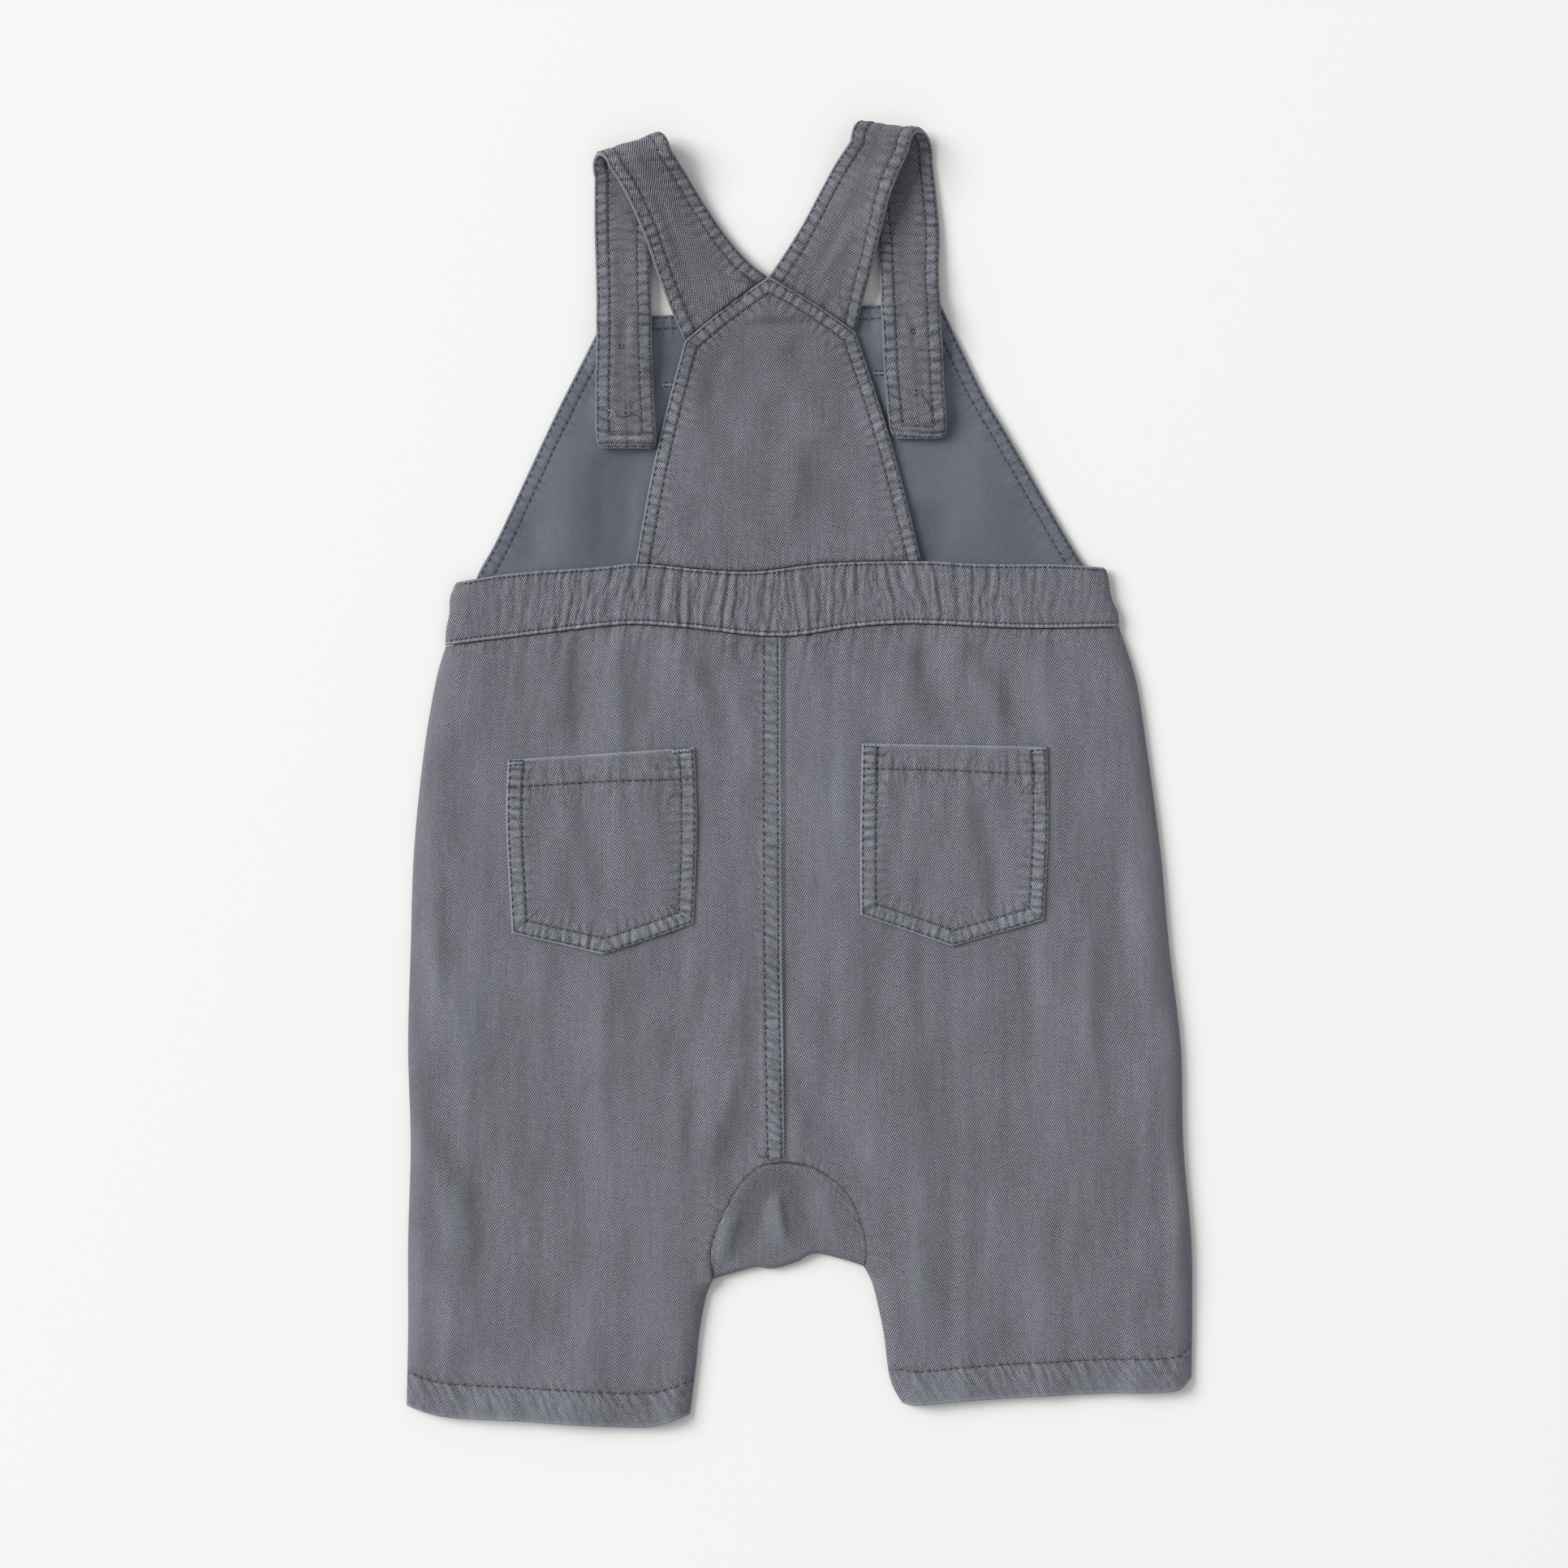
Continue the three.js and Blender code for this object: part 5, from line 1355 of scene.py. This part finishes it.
def strap_piece(side):
    """The strap and the stitches on both its faces."""
    (upper, lower), uv, run, widths = strap(side)
    piece = double_wall(f"cloth_strap_{side}", (upper[0], lower[0]), uv, (upper[1], lower[1]))
    dress(piece, TWILL, f"strap_{side}")
    last = upper[0].shape[1] - 1
    places = []
    for away in (EDGE_ROW, INNER_ROW):
        s = np.arange(0.0015, run[-1] - away, STITCH_PITCH)
        share = away / np.interp(s, run, widths)
        places += [(s, share, STITCH_PITCH / 4, 0), (s, 1 - share, STITCH_PITCH / 4, 0)]
        inner = np.arange(away + STITCH_PITCH, widths[-1] - away, STITCH_PITCH) / widths[-1]
        places += [(np.full(len(inner), run[-1] - away), inner, 0, STITCH_PITCH / 4 / widths[-1])]
    centres, directions, ups = [], [], []
    for surface, _, normal in (upper, lower):
        for s, share, ahead_s, ahead_share in places:
            rows = [np.interp(s + k * ahead_s, run, np.arange(len(run))) for k in (-1, 0, 1)]
            columns = [(share + k * ahead_share) * last for k in (-1, 0, 1)]
            before, at, after = (grid_place(surface, r, c) for r, c in zip(rows, columns))
            centres.append(at)
            directions.append(unit(after - before))
            ups.append(unit(grid_place(normal, rows[1], columns[1])))
    centres, directions, ups = (np.concatenate(values) for values in (centres, directions, ups))
    sizes = STITCH_LENGTH * np.random.default_rng(60).uniform(0.92, 1.06, len(centres))
    stitch_mesh(f"stitches_strap_{side}", centres, directions, ups, sizes, THREAD, 1.0)
    return piece


def grid_place(grid, rows, columns):
    """Points on a grid at fractional rows and columns."""
    r = np.clip(np.floor(rows).astype(int), 0, grid.shape[0] - 2)
    c = np.clip(np.floor(columns).astype(int), 0, grid.shape[1] - 2)
    u, v = (rows - r)[:, None], (columns - c)[:, None]
    return lerp(lerp(grid[r, c], grid[r + 1, c], u), lerp(grid[r, c + 1], grid[r + 1, c + 1], u), v)


def double_wall(name, surfaces, uv, fields):
    """A closed wall whose two faces are equally fine."""
    rows, columns = surfaces[0].shape[:2]
    first = rows * columns
    points = np.concatenate([surface.reshape(-1, 3) for surface in surfaces])
    at = np.arange(first).reshape(rows, columns)
    rim = np.concatenate([at[:-1, 0], at[-1, :-1], at[:0:-1, -1], at[0, :0:-1]])
    after = np.roll(rim, -1)
    faces = [
        grid_quads(rows, columns, 0),
        grid_quads(rows, columns, first)[:, ::-1],
        np.stack([rim, rim + first, after + first, after], axis=1),
    ]
    flat = uv.reshape(-1, 2)
    uv_flat = np.concatenate([flat, flat * [-1, 1]])
    depth = np.linalg.norm(surfaces[0] - surfaces[1], axis=-1).reshape(-1, 1)
    rim_uv = np.concatenate([flat, flat + depth * ACROSS_RIBS])
    corner_uv = [uv_flat[faces[0]], uv_flat[faces[1]], rim_uv[faces[2]]]
    values = {
        field: np.concatenate([grids[field].ravel() for grids in fields]) for field in fields[0]
    }
    return make_mesh(name, points, faces, corner_uv, values)


# Pockets


def pocket_plan(shape, down, t):
    """x and y at shares of the way down a pocket and across it."""
    left, right = spline(shape["left"], down), spline(shape["right"], down)
    at = lerp(left[:, None], right[:, None], t[None, :, None])
    low_left, low_right = shape["left"][-1][1], shape["right"][-1][1]
    corner = np.where(t <= 0.5, low_left, low_right)
    bottom = lerp(shape["point"][1], corner, np.abs(t * 2 - 1))
    straight = lerp(low_left, low_right, t)
    return at[..., 0], at[..., 1] + down[:, None] ** 3 * (bottom - straight)


def pocket_edge(shape):
    """The sewn edge, from the top left corner round the point to the top right corner."""
    side = np.linspace(0, 1, 13)
    left, right = spline(shape["left"], side), spline(shape["right"], side[::-1])
    return np.concatenate([left, [shape["point"]], right])


def pocket(side):
    """A pointed patch that follows the leg under it."""
    shape = POCKETS[side]
    down = np.linspace(0, 1, POCKET_GRID[0] + 1)
    t = np.linspace(0, 1, POCKET_GRID[1] + 1)
    x, y = pocket_plan(shape, down, t)
    away, along = nearest(pocket_edge(shape), x, y)
    hem, fields = puckered(away, along, POCKET_INNER_ROW, 81 if side == "left" else 91)
    below_top = lerp(y[0, 0], y[0, -1], t) - y
    above_row = y - graph(shape["hem_row"], x)
    inside = smooth(away, 0.0, 0.002)
    rope = ripples(x, above_row, 0.0062, 84)
    near_row = bell(above_row, 0.008)
    row = bell(above_row, 0.0006)
    detail = hem + relief(POCKET_FOLDS, x, y, 0.45 * FOLD_STRENGTH) + 0.00036 * rope * near_row * inside
    detail += 0.00045 * noise(x, y, 0.0085, 0.026, 85) + 0.00012 * noise(x, y, 0.004, 0.011, 86)
    detail += POCKET_HEM_RISE * smooth(above_row, -0.0004, 0.0006) - ROW_DEPTH * row
    top_edge = bell(below_top, 0.0009)
    detail -= 0.0005 * rounding(below_top, 0.0008)
    # The top edge and the rope crests are painted lighter (painted highlight with abrasion); the hem row and
    # the ropes' valleys are painted darker (painted shade)
    wear = fields["wear"] + 0.8 * top_edge + 0.25 * raised(rope) * near_row
    shade = fields["shade"] + 0.22 * row + 0.28 * sunk(rope) * near_row
    base = leg_form(x, y, 0) + leg_drape(x, y) + SEAM_GAP
    outer = stacked(x, y, base + POCKET_WALL + detail)
    inner = stacked(x, y, base - 0.0003)[::COARSE, ::COARSE]
    seams = (fields["drawn"], along, away), (0.8 * near_row * inside, x, above_row)
    fields = cloth_fields(wear, shade, *seams)
    piece = wall(f"cloth_pocket_{side}", outer, inner, turned(x, y, 0), fields)
    dress(piece, TWILL, f"pocket_{side}")
    return piece


# Gusset


def gusset():
    """The crotch panel, from the arch down to its fold and back under to the front."""
    grid = GUSSET_GRID
    t = np.linspace(0, 1, grid["across"] + 1)
    is_left = (t < 0.5)[:, None]
    reach = np.abs(t * 2 - 1) * GUSSET_REACH
    arch = np.where(is_left, even_spline(ARCH_LEFT, reach), even_spline(ARCH_RIGHT, reach))
    ahead = np.where(is_left, even_spline(ARCH_LEFT, reach + 0.01), even_spline(ARCH_RIGHT, reach + 0.01))
    tangent = np.abs(unit(ahead - arch))
    inward = np.where(is_left[:, 0], 1, -1)
    arch = arch - 4 * SEAM_OVERLAP * np.stack([inward * tangent[:, 1], -tangent[:, 0]], axis=1)
    crotch = even_spline(CROTCH_FOLD, t)
    crotch[:, 0] = np.clip(crotch[:, 0], ARCH_LEFT[-1][0] + SEAM_GAP, ARCH_RIGHT[-1][0] - SEAM_GAP)
    length = np.linalg.norm(crotch - arch, axis=1)[:, None]
    flat = length - GUSSET_ROLL
    share = np.linspace(0, 1, grid["back"] + 1)
    angle = np.linspace(0, math.pi, grid["roll"] + 1)[1:-1]
    front_share = np.linspace(1, 0, grid["front"] + 1)

    def face(radius, back_z, front_z):
        offset = np.concatenate([flat * share, flat + radius * np.sin(angle), flat * front_share], axis=1)
        at = lerp(arch[:, None], crotch[:, None], (offset / length)[..., None])
        roll_z = np.broadcast_to(GUSSET_ROLL + radius * np.cos(angle), (len(t), len(angle)))
        front = np.full((len(t), len(front_share)), front_z)
        x, y = at[..., 0], at[..., 1]
        z = np.concatenate([back_z(x[:, : len(share)], y[:, : len(share)]), roll_z, front], axis=1)
        return stacked(x, y, z)

    plain = lerp(GUSSET_TOP, GUSSET_ROLL * 2, smooth(share, 0, 1))

    def folded(x, y):
        away = share * flat
        detail = relief(GUSSET_FOLDS, x, y, 0.8 * FOLD_STRENGTH) + 0.00026 * noise(x, y, 0.006, 0.016, 95)
        detail += 0.0004 * ripples(x + y, away, 0.0048, 96) * fading(away, 0.006)
        detail -= GROOVE_DEPTH * bell(away, 0.0010)
        return plain + within_wall(detail, GUSSET_WALL) * (1 - share**4)

    outer = face(GUSSET_ROLL, folded, 0.0)
    inner = face(GUSSET_ROLL - GUSSET_WALL, lambda x, y: plain - GUSSET_WALL + 0 * x, GUSSET_WALL)
    turn = len(share) + len(angle) // 2
    beyond = 2 * outer[:, turn : turn + 1, 1] - outer[..., 1]
    order = np.arange(outer.shape[1])
    uv = np.stack([outer[..., 0], np.where(order <= turn, outer[..., 1], beyond)], axis=-1)
    away = np.concatenate([share * flat, np.ones((len(t), len(angle) + len(front_share)))], axis=1)
    folds = relief(GUSSET_FOLDS, outer[..., 0], outer[..., 1], FOLD_STRENGTH) * (order < len(share))
    pulls = ripples(outer[..., 0] + outer[..., 1], away, 0.0048, 96) * fading(away, 0.005)
    # Fold ridges and pull crests painted lighter (painted highlight with abrasion); the panel a little darker
    # overall, with painted shade in the seam's groove and the fold troughs
    fields = {
        "wear": 160 * raised(folds, 0.0015) + 0.5 * raised(pulls),
        "shade": 0.06 + 0.5 * bell(away, 0.0006) + 120 * sunk(folds, 0.0015),
        "drawn": 0.7 * fading(away, 0.006),
        "along": outer[..., 0],
        "away": away,
    }
    piece = double_wall("cloth_gusset", (outer, inner), uv, (fields, fields))
    dress(piece, TWILL, "gusset")


# Sewing

# Rings of a stitch: place along its half length, lift and share of the full radius
STITCH_SECTIONS = ((-1.0, -0.00030, 0.55), (-0.5, 0.00008, 1.0), (0.5, 0.00008, 1.0), (1.0, -0.00030, 0.55))


def thread_rings(middle, radius, side, up):
    """Points round a thread, at each point along its middle."""
    around = np.arange(THREAD_SIDES) * 2 * math.pi / THREAD_SIDES
    return np.stack([middle + radius * (math.cos(a) * side + math.sin(a) * up) for a in around], axis=1)


def thread_faces(rings):
    """Sides and end caps of a thread with a number of rings."""
    at = np.arange(rings * THREAD_SIDES).reshape(rings, THREAD_SIDES)
    after = np.roll(at, -1, axis=1)
    quads = np.stack([at[:-1], after[:-1], after[1:], at[1:]], axis=-1).reshape(-1, 4)
    start_cap = np.array([[0, k + 1, k] for k in range(1, THREAD_SIDES - 1)])
    return quads, np.concatenate([start_cap, start_cap[:, ::-1] + at[-1, 0]])


def stitch_mesh(name, centres, directions, ups, sizes, material, girth):
    """One mesh of short threads, each dipping into the cloth at both ends."""
    sideways = np.cross(directions, ups)
    rings = []
    for along, lift, taper in STITCH_SECTIONS:
        middle = centres + directions * (along * sizes / 2)[:, None] + ups * lift
        rings.append(thread_rings(middle, THREAD_RADIUS * girth * taper, sideways, ups))
    points = np.stack(rings, axis=1).reshape(-1, 3)
    first = np.arange(len(centres))[:, None, None] * len(STITCH_SECTIONS) * THREAD_SIDES
    faces = [(first + part).reshape(-1, part.shape[1]) for part in thread_faces(len(STITCH_SECTIONS))]
    return dress(make_mesh(name, points, faces), material)


def tail(name, host, points, material):
    """A loose end of thread that lies on the cloth, curved through flat points."""
    place = even_spline(points, np.linspace(0, 1, TAIL_RINGS))
    lift = 0.00012 + 0.0003 * np.sin(np.linspace(0, math.pi, TAIL_RINGS))
    path = np.column_stack([place, drop([host], place) + lift])
    step = unit(np.gradient(path, axis=0))
    side = unit(np.cross(step, [0.0, 0.0, 1.0]))
    rings = thread_rings(path, TAIL_RADIUS, side, np.cross(side, step))
    return dress(make_mesh(name, rings.reshape(-1, 3), thread_faces(TAIL_RINGS)), material)


def tack(name, host, bar, half):
    """A bar tack: a bar of close light stitches between two dark rows of thread that stand in for the shadow
    of the drawn-in cloth (painted shadow).
    """
    dark = [bar + [0, half], bar - [0, half]]
    light = [bar + [0, 0.0002], bar - [0, 0.0003]]
    # Dark thread rows put where there is only shadow beside the bar (painted shadow)
    sew(f"{name}_edges", [host], dark, 109, THREAD, 0.0019, 0.0020, 1.2)
    sew(f"{name}_bar", [host], light, 110, TACK_THREAD, 0.0012, 0.0017)


def button(name, x, y):
    """A four-hole button under the bib, with its sunk middle and rim below and its sewing across it."""
    well = [(radius, BUTTON_WELL) for radius in np.linspace(0, WELL_RADIUS, WELL_RINGS + 1)[1:]]
    r, z = np.array([*well, *BUTTON_RIM]).T
    angle = np.arange(BUTTON_SIDES) * 2 * math.pi / BUTTON_SIDES
    px, py = r[:, None] * np.cos(angle), r[:, None] * np.sin(angle)
    holes = [(i * HOLE_SHIFT, j * HOLE_SHIFT) for i in (-1, 1) for j in (-1, 1)]
    hole = np.min([np.hypot(px - hx, py - hy) for hx, hy in holes], axis=0)
    in_well = (np.arange(len(r)) < WELL_RINGS)[:, None]
    pz = z[:, None] + in_well * HOLE_DEPTH * (1 - smooth(hole, 0.0006, 0.0009))
    points = stacked(x + px, y + py, pz).reshape(-1, 3)
    points = np.concatenate([points, [(x, y, BUTTON_WELL), (x, y, BUTTON_RIM[-1][1])]])
    at = np.arange(len(r) * BUTTON_SIDES).reshape(len(r), BUTTON_SIDES)
    after = np.roll(at, -1, axis=1)
    quads = np.stack([at[:-1], at[1:], after[1:], after[:-1]], axis=-1).reshape(-1, 4)
    front = np.stack([np.full(BUTTON_SIDES, len(points) - 2), at[0], after[0]], axis=1)
    back = np.stack([np.full(BUTTON_SIDES, len(points) - 1), after[-1], at[-1]], axis=1)
    piece = make_mesh(f"moulded_{name}", points, [quads, np.concatenate([front, back])])
    dress(piece, BUTTON, name)
    centres = np.array([(x + shift, y, BUTTON_WELL - 0.00002) for shift in (-HOLE_SHIFT, HOLE_SHIFT)])
    across, down = np.tile([0.0, 1.0, 0.0], (2, 1)), np.tile([0.0, 0.0, -1.0], (2, 1))
    stitch_mesh(f"stitches_{name}", centres, across, down, np.full(2, 0.0026), THREAD, 1.0)


# Sewing of each button through the strap: short threads at the four holes, as shifts from its middle
SEWING_SHIFTS = ((-0.0011, 0.0010), (0.0011, 0.0010), (-0.0011, -0.0010), (0.0011, -0.0010))

# Loose thread ends: the strap, the thread and the points it runs through
TAILS = {
    "tail_left_pale": ("left", TAIL_THREAD, ((-0.0756, 0.1442), (-0.0736, 0.1434), (-0.0725, 0.1416))),
    "tail_left_pale_short": ("left", TAIL_THREAD, ((-0.0749, 0.1401), (-0.0745, 0.1414), (-0.0738, 0.1426))),
    "tail_left_dark": (
        "left", THREAD,
        ((-0.0724, 0.1418), (-0.0695, 0.1411), (-0.0655, 0.1421), (-0.0640, 0.1417), (-0.0618, 0.1394)),
    ),
    "tail_right_pale": ("right", TACK_THREAD, ((0.0415, 0.1512), (0.0418, 0.1502), (0.0429, 0.1490))),
    "tail_right_dark": ("right", THREAD, ((0.0479, 0.1497), (0.0501, 0.1473), (0.0520, 0.1436))),
}


def button_sewing():
    for name, (x, y) in BUTTONS.items():
        button(name, x, y)
        spread = 1.0 if name.endswith("lower") else 0.6
        lines = []
        for dx, dy in SEWING_SHIFTS:
            at_x, at_y = x + dx * spread, y + dy * spread
            lines.append([(at_x, at_y - 0.0006), (at_x, at_y + 0.0006)])
        sew(f"stitches_{name}_back", [straps[name.split("_")[1]]], lines, 111, THREAD, 0.0012, 0.0011, 1.3)
    for name, (side, material, points) in TAILS.items():
        tail(name, straps[side], points, material)


def along_path(path, pitch=STITCH_PITCH):
    """Even places on a flat path, with the direction at each."""
    path = np.asarray(path, float)
    run = lengths(path)
    count = max(int(run[-1] / pitch), 1)
    at = (np.arange(count) + 0.5) * run[-1] / count
    place = np.stack([np.interp(at, run, path[:, k]) for k in (0, 1)], axis=1)
    ahead = np.clip(at + pitch / 4, 0, run[-1])
    behind = np.clip(at - pitch / 4, 0, run[-1])
    steps = [np.interp(ahead, run, path[:, k]) - np.interp(behind, run, path[:, k]) for k in (0, 1)]
    return place, unit(np.stack(steps, axis=1))


def drop(hosts, place):
    """Height of the highest host below each place."""
    found = []
    for x, y in place:
        hits = [host.ray_cast(Vector((x, y, 0.05)), Vector((0, 0, -1))) for host in hosts]
        found.append(max([point.z for hit, point, _, _ in hits if hit], default=0.004))
    return np.array(found)


def sew(name, hosts, paths, seed, material=THREAD, pitch=STITCH_PITCH, length=STITCH_LENGTH, girth=1.0):
    """Stitches along flat paths, laid on the host pieces."""
    rng = np.random.default_rng(seed)
    places, steps = zip(*(along_path(path, pitch) for path in paths))
    place, step = np.concatenate(places), np.concatenate(steps)
    side = np.stack([-step[:, 1], step[:, 0]], axis=1)
    place = place + side * rng.normal(0, 0.00006, len(place))[:, None]
    lean = rng.normal(0, 0.05, len(place))[:, None]
    step = step + side * lean
    bpy.context.view_layer.update()
    ground = drop(hosts, place)
    ahead = drop(hosts, place + step * length * 0.4)
    behind = drop(hosts, place - step * length * 0.4)
    climb = np.clip((ahead - behind) / (0.8 * length), -STEEPEST, STEEPEST)
    direction = unit(np.column_stack([step, climb]))
    up = unit([0.0, 0.0, 1.0] - direction * direction[:, 2:])
    centre = np.column_stack([place, np.maximum(ground, (ahead + behind) / 2)])
    size = length * rng.uniform(0.92, 1.06, len(place))
    return stitch_mesh(name, centre, direction, up, size, material, girth)


def shifted_graph(rows, x_from, x_to, shift):
    """A line of points along a stretch of an outline, moved up by shift."""
    x = np.linspace(x_from, x_to, 60)
    return np.stack([x, graph(rows, x) + shift], axis=1)


# The garment

for side in LEGS:
    front_leg(side)
legs = {side: back_leg(side) for side in LEGS}
bib_layer("cloth_bib_outer", "bib_outer", TWILL, 0.0, OUTER_BIB_GRID)
lining = bib_layer("cloth_bib_lining", "bib_lining", LINING, LINING_BASE, BIB_GRID)
bib = back_bib()
band = waistband()
straps = {side: strap_piece(side) for side in STRAPS}
pockets = {side: pocket(side) for side in POCKETS}
gusset()

band_rows = [
    shifted_graph(WAISTBAND_UPPER, -0.1325, 0.1185, -WAISTBAND_HIGH_ROW),
    shifted_graph(WAIST, -0.1380, 0.1240, WAISTBAND_LOW_ROW),
]
sew("stitches_waistband", [band], band_rows, 101, THREAD, WAIST_STITCH_PITCH, 0.0013, 1.3)
sew("stitches_bib_back", [bib], [inset(back_bib_edge(), d) for d in (EDGE_ROW, INNER_ROW)], 102)
for number, (side, shape) in enumerate(POCKETS.items()):
    edge = pocket_edge(shape)
    rows = [inset(edge, -EDGE_ROW), inset(edge, -POCKET_INNER_ROW), shape["hem_row"]]
    sew(f"stitches_pocket_{side}", [pockets[side]], rows, 103 + number)
seam_y = np.linspace(0.052, -0.1515, 40)
seam_rows = [np.stack([centre_seam_x(seam_y) - d, seam_y], axis=1) for d in STRIP_ROWS]
sew("stitches_centre_seam", [legs["left"]], seam_rows, 105)
for side, (start, end) in HEM_STITCHES.items():
    row = shifted_graph(LEGS[side]["hem"], start, end, HEM_ROW_ABOVE)
    sew(f"stitches_hem_{side}", [legs[side]], [row], 106)
left_edge = spline([*reversed(BIB_LEFT[:-1])], np.linspace(0, 1, 30))
right_edge = spline(BIB_RIGHT[:-1], np.linspace(0, 1, 30))
lining_edges = (left_edge, (BIB_LEFT[0], BIB_RIGHT[0]), right_edge)
lining_rows = [inset(path, d) for path in lining_edges for d in (EDGE_ROW, INNER_ROW)]
sew("stitches_lining", [lining], lining_rows, 108)
for side, shape in POCKETS.items():
    for number, (x_from, x_to, y_from, y_to) in enumerate(shape["tacks"]):
        bar = np.array([(x_from, y_from), (x_to, y_to)])
        tack(f"tack_pocket_{side}_{number}", pockets[side], bar, 0.0008)
for number, (x_from, x_to, y_at) in enumerate(BIB_TACKS):
    tack(f"tack_bib_{number}", lining, np.array([(x_from, y_at), (x_to, y_at)]), 0.0007)
button_sewing()


# Stage

FRAME_WIDTH = 0.61824
CAMERA_X, CAMERA_Y = -0.00608, -0.00336
CAMERA_LENS = 100.0
SENSOR = 36.0
CLOTH_HEIGHT = 0.005
FLOOR_SIZE = 6
PAPER_COLOUR = (0.86, 0.855, 0.84, 1)
WINDOW_SIZE = 8.0
WINDOW_POWER = 2100
WINDOW_COLOUR = (1.0, 0.995, 0.985)
WINDOW_PLACE = Vector((-10.7, 4.3, 8.4))
ROOM_COLOUR = (0.97, 0.985, 1.0, 1)
ROOM_STRENGTH = 0.52


def floor():
    bpy.ops.mesh.primitive_plane_add(size=FLOOR_SIZE, location=(0, 0, 0))
    plane = bpy.context.object
    plane.name = "floor"
    material, _, shader = new_material("paper", 0.9, 0.0)
    shader.inputs["Base Color"].default_value = PAPER_COLOUR
    plane.data.materials.append(material)


def camera():
    data = bpy.data.cameras.new("camera")
    data.lens = CAMERA_LENS
    data.sensor_width = SENSOR
    made = bpy.data.objects.new("camera", data)
    distance = FRAME_WIDTH / 2 / (SENSOR / 2 / CAMERA_LENS)
    made.location = (CAMERA_X, CAMERA_Y, CLOTH_HEIGHT + distance)
    bpy.context.scene.collection.objects.link(made)
    bpy.context.scene.camera = made


def light():
    """A broad soft window light from the upper left, far enough off to fade little across the table."""
    data = bpy.data.lights.new("window", "AREA")
    data.shape = "SQUARE"
    data.size = WINDOW_SIZE
    data.energy = WINDOW_POWER
    data.color = WINDOW_COLOUR
    window = bpy.data.objects.new("window", data)
    window.location = WINDOW_PLACE
    window.rotation_euler = (-WINDOW_PLACE).to_track_quat("-Z", "Y").to_euler()
    bpy.context.scene.collection.objects.link(window)
    world = bpy.data.worlds.new("room")
    world.use_nodes = True
    background = world.node_tree.nodes["Background"]
    background.inputs[0].default_value = ROOM_COLOUR
    background.inputs[1].default_value = ROOM_STRENGTH
    bpy.context.scene.world = world
    bpy.context.scene.view_settings.view_transform = "Standard"


floor()
camera()
light()
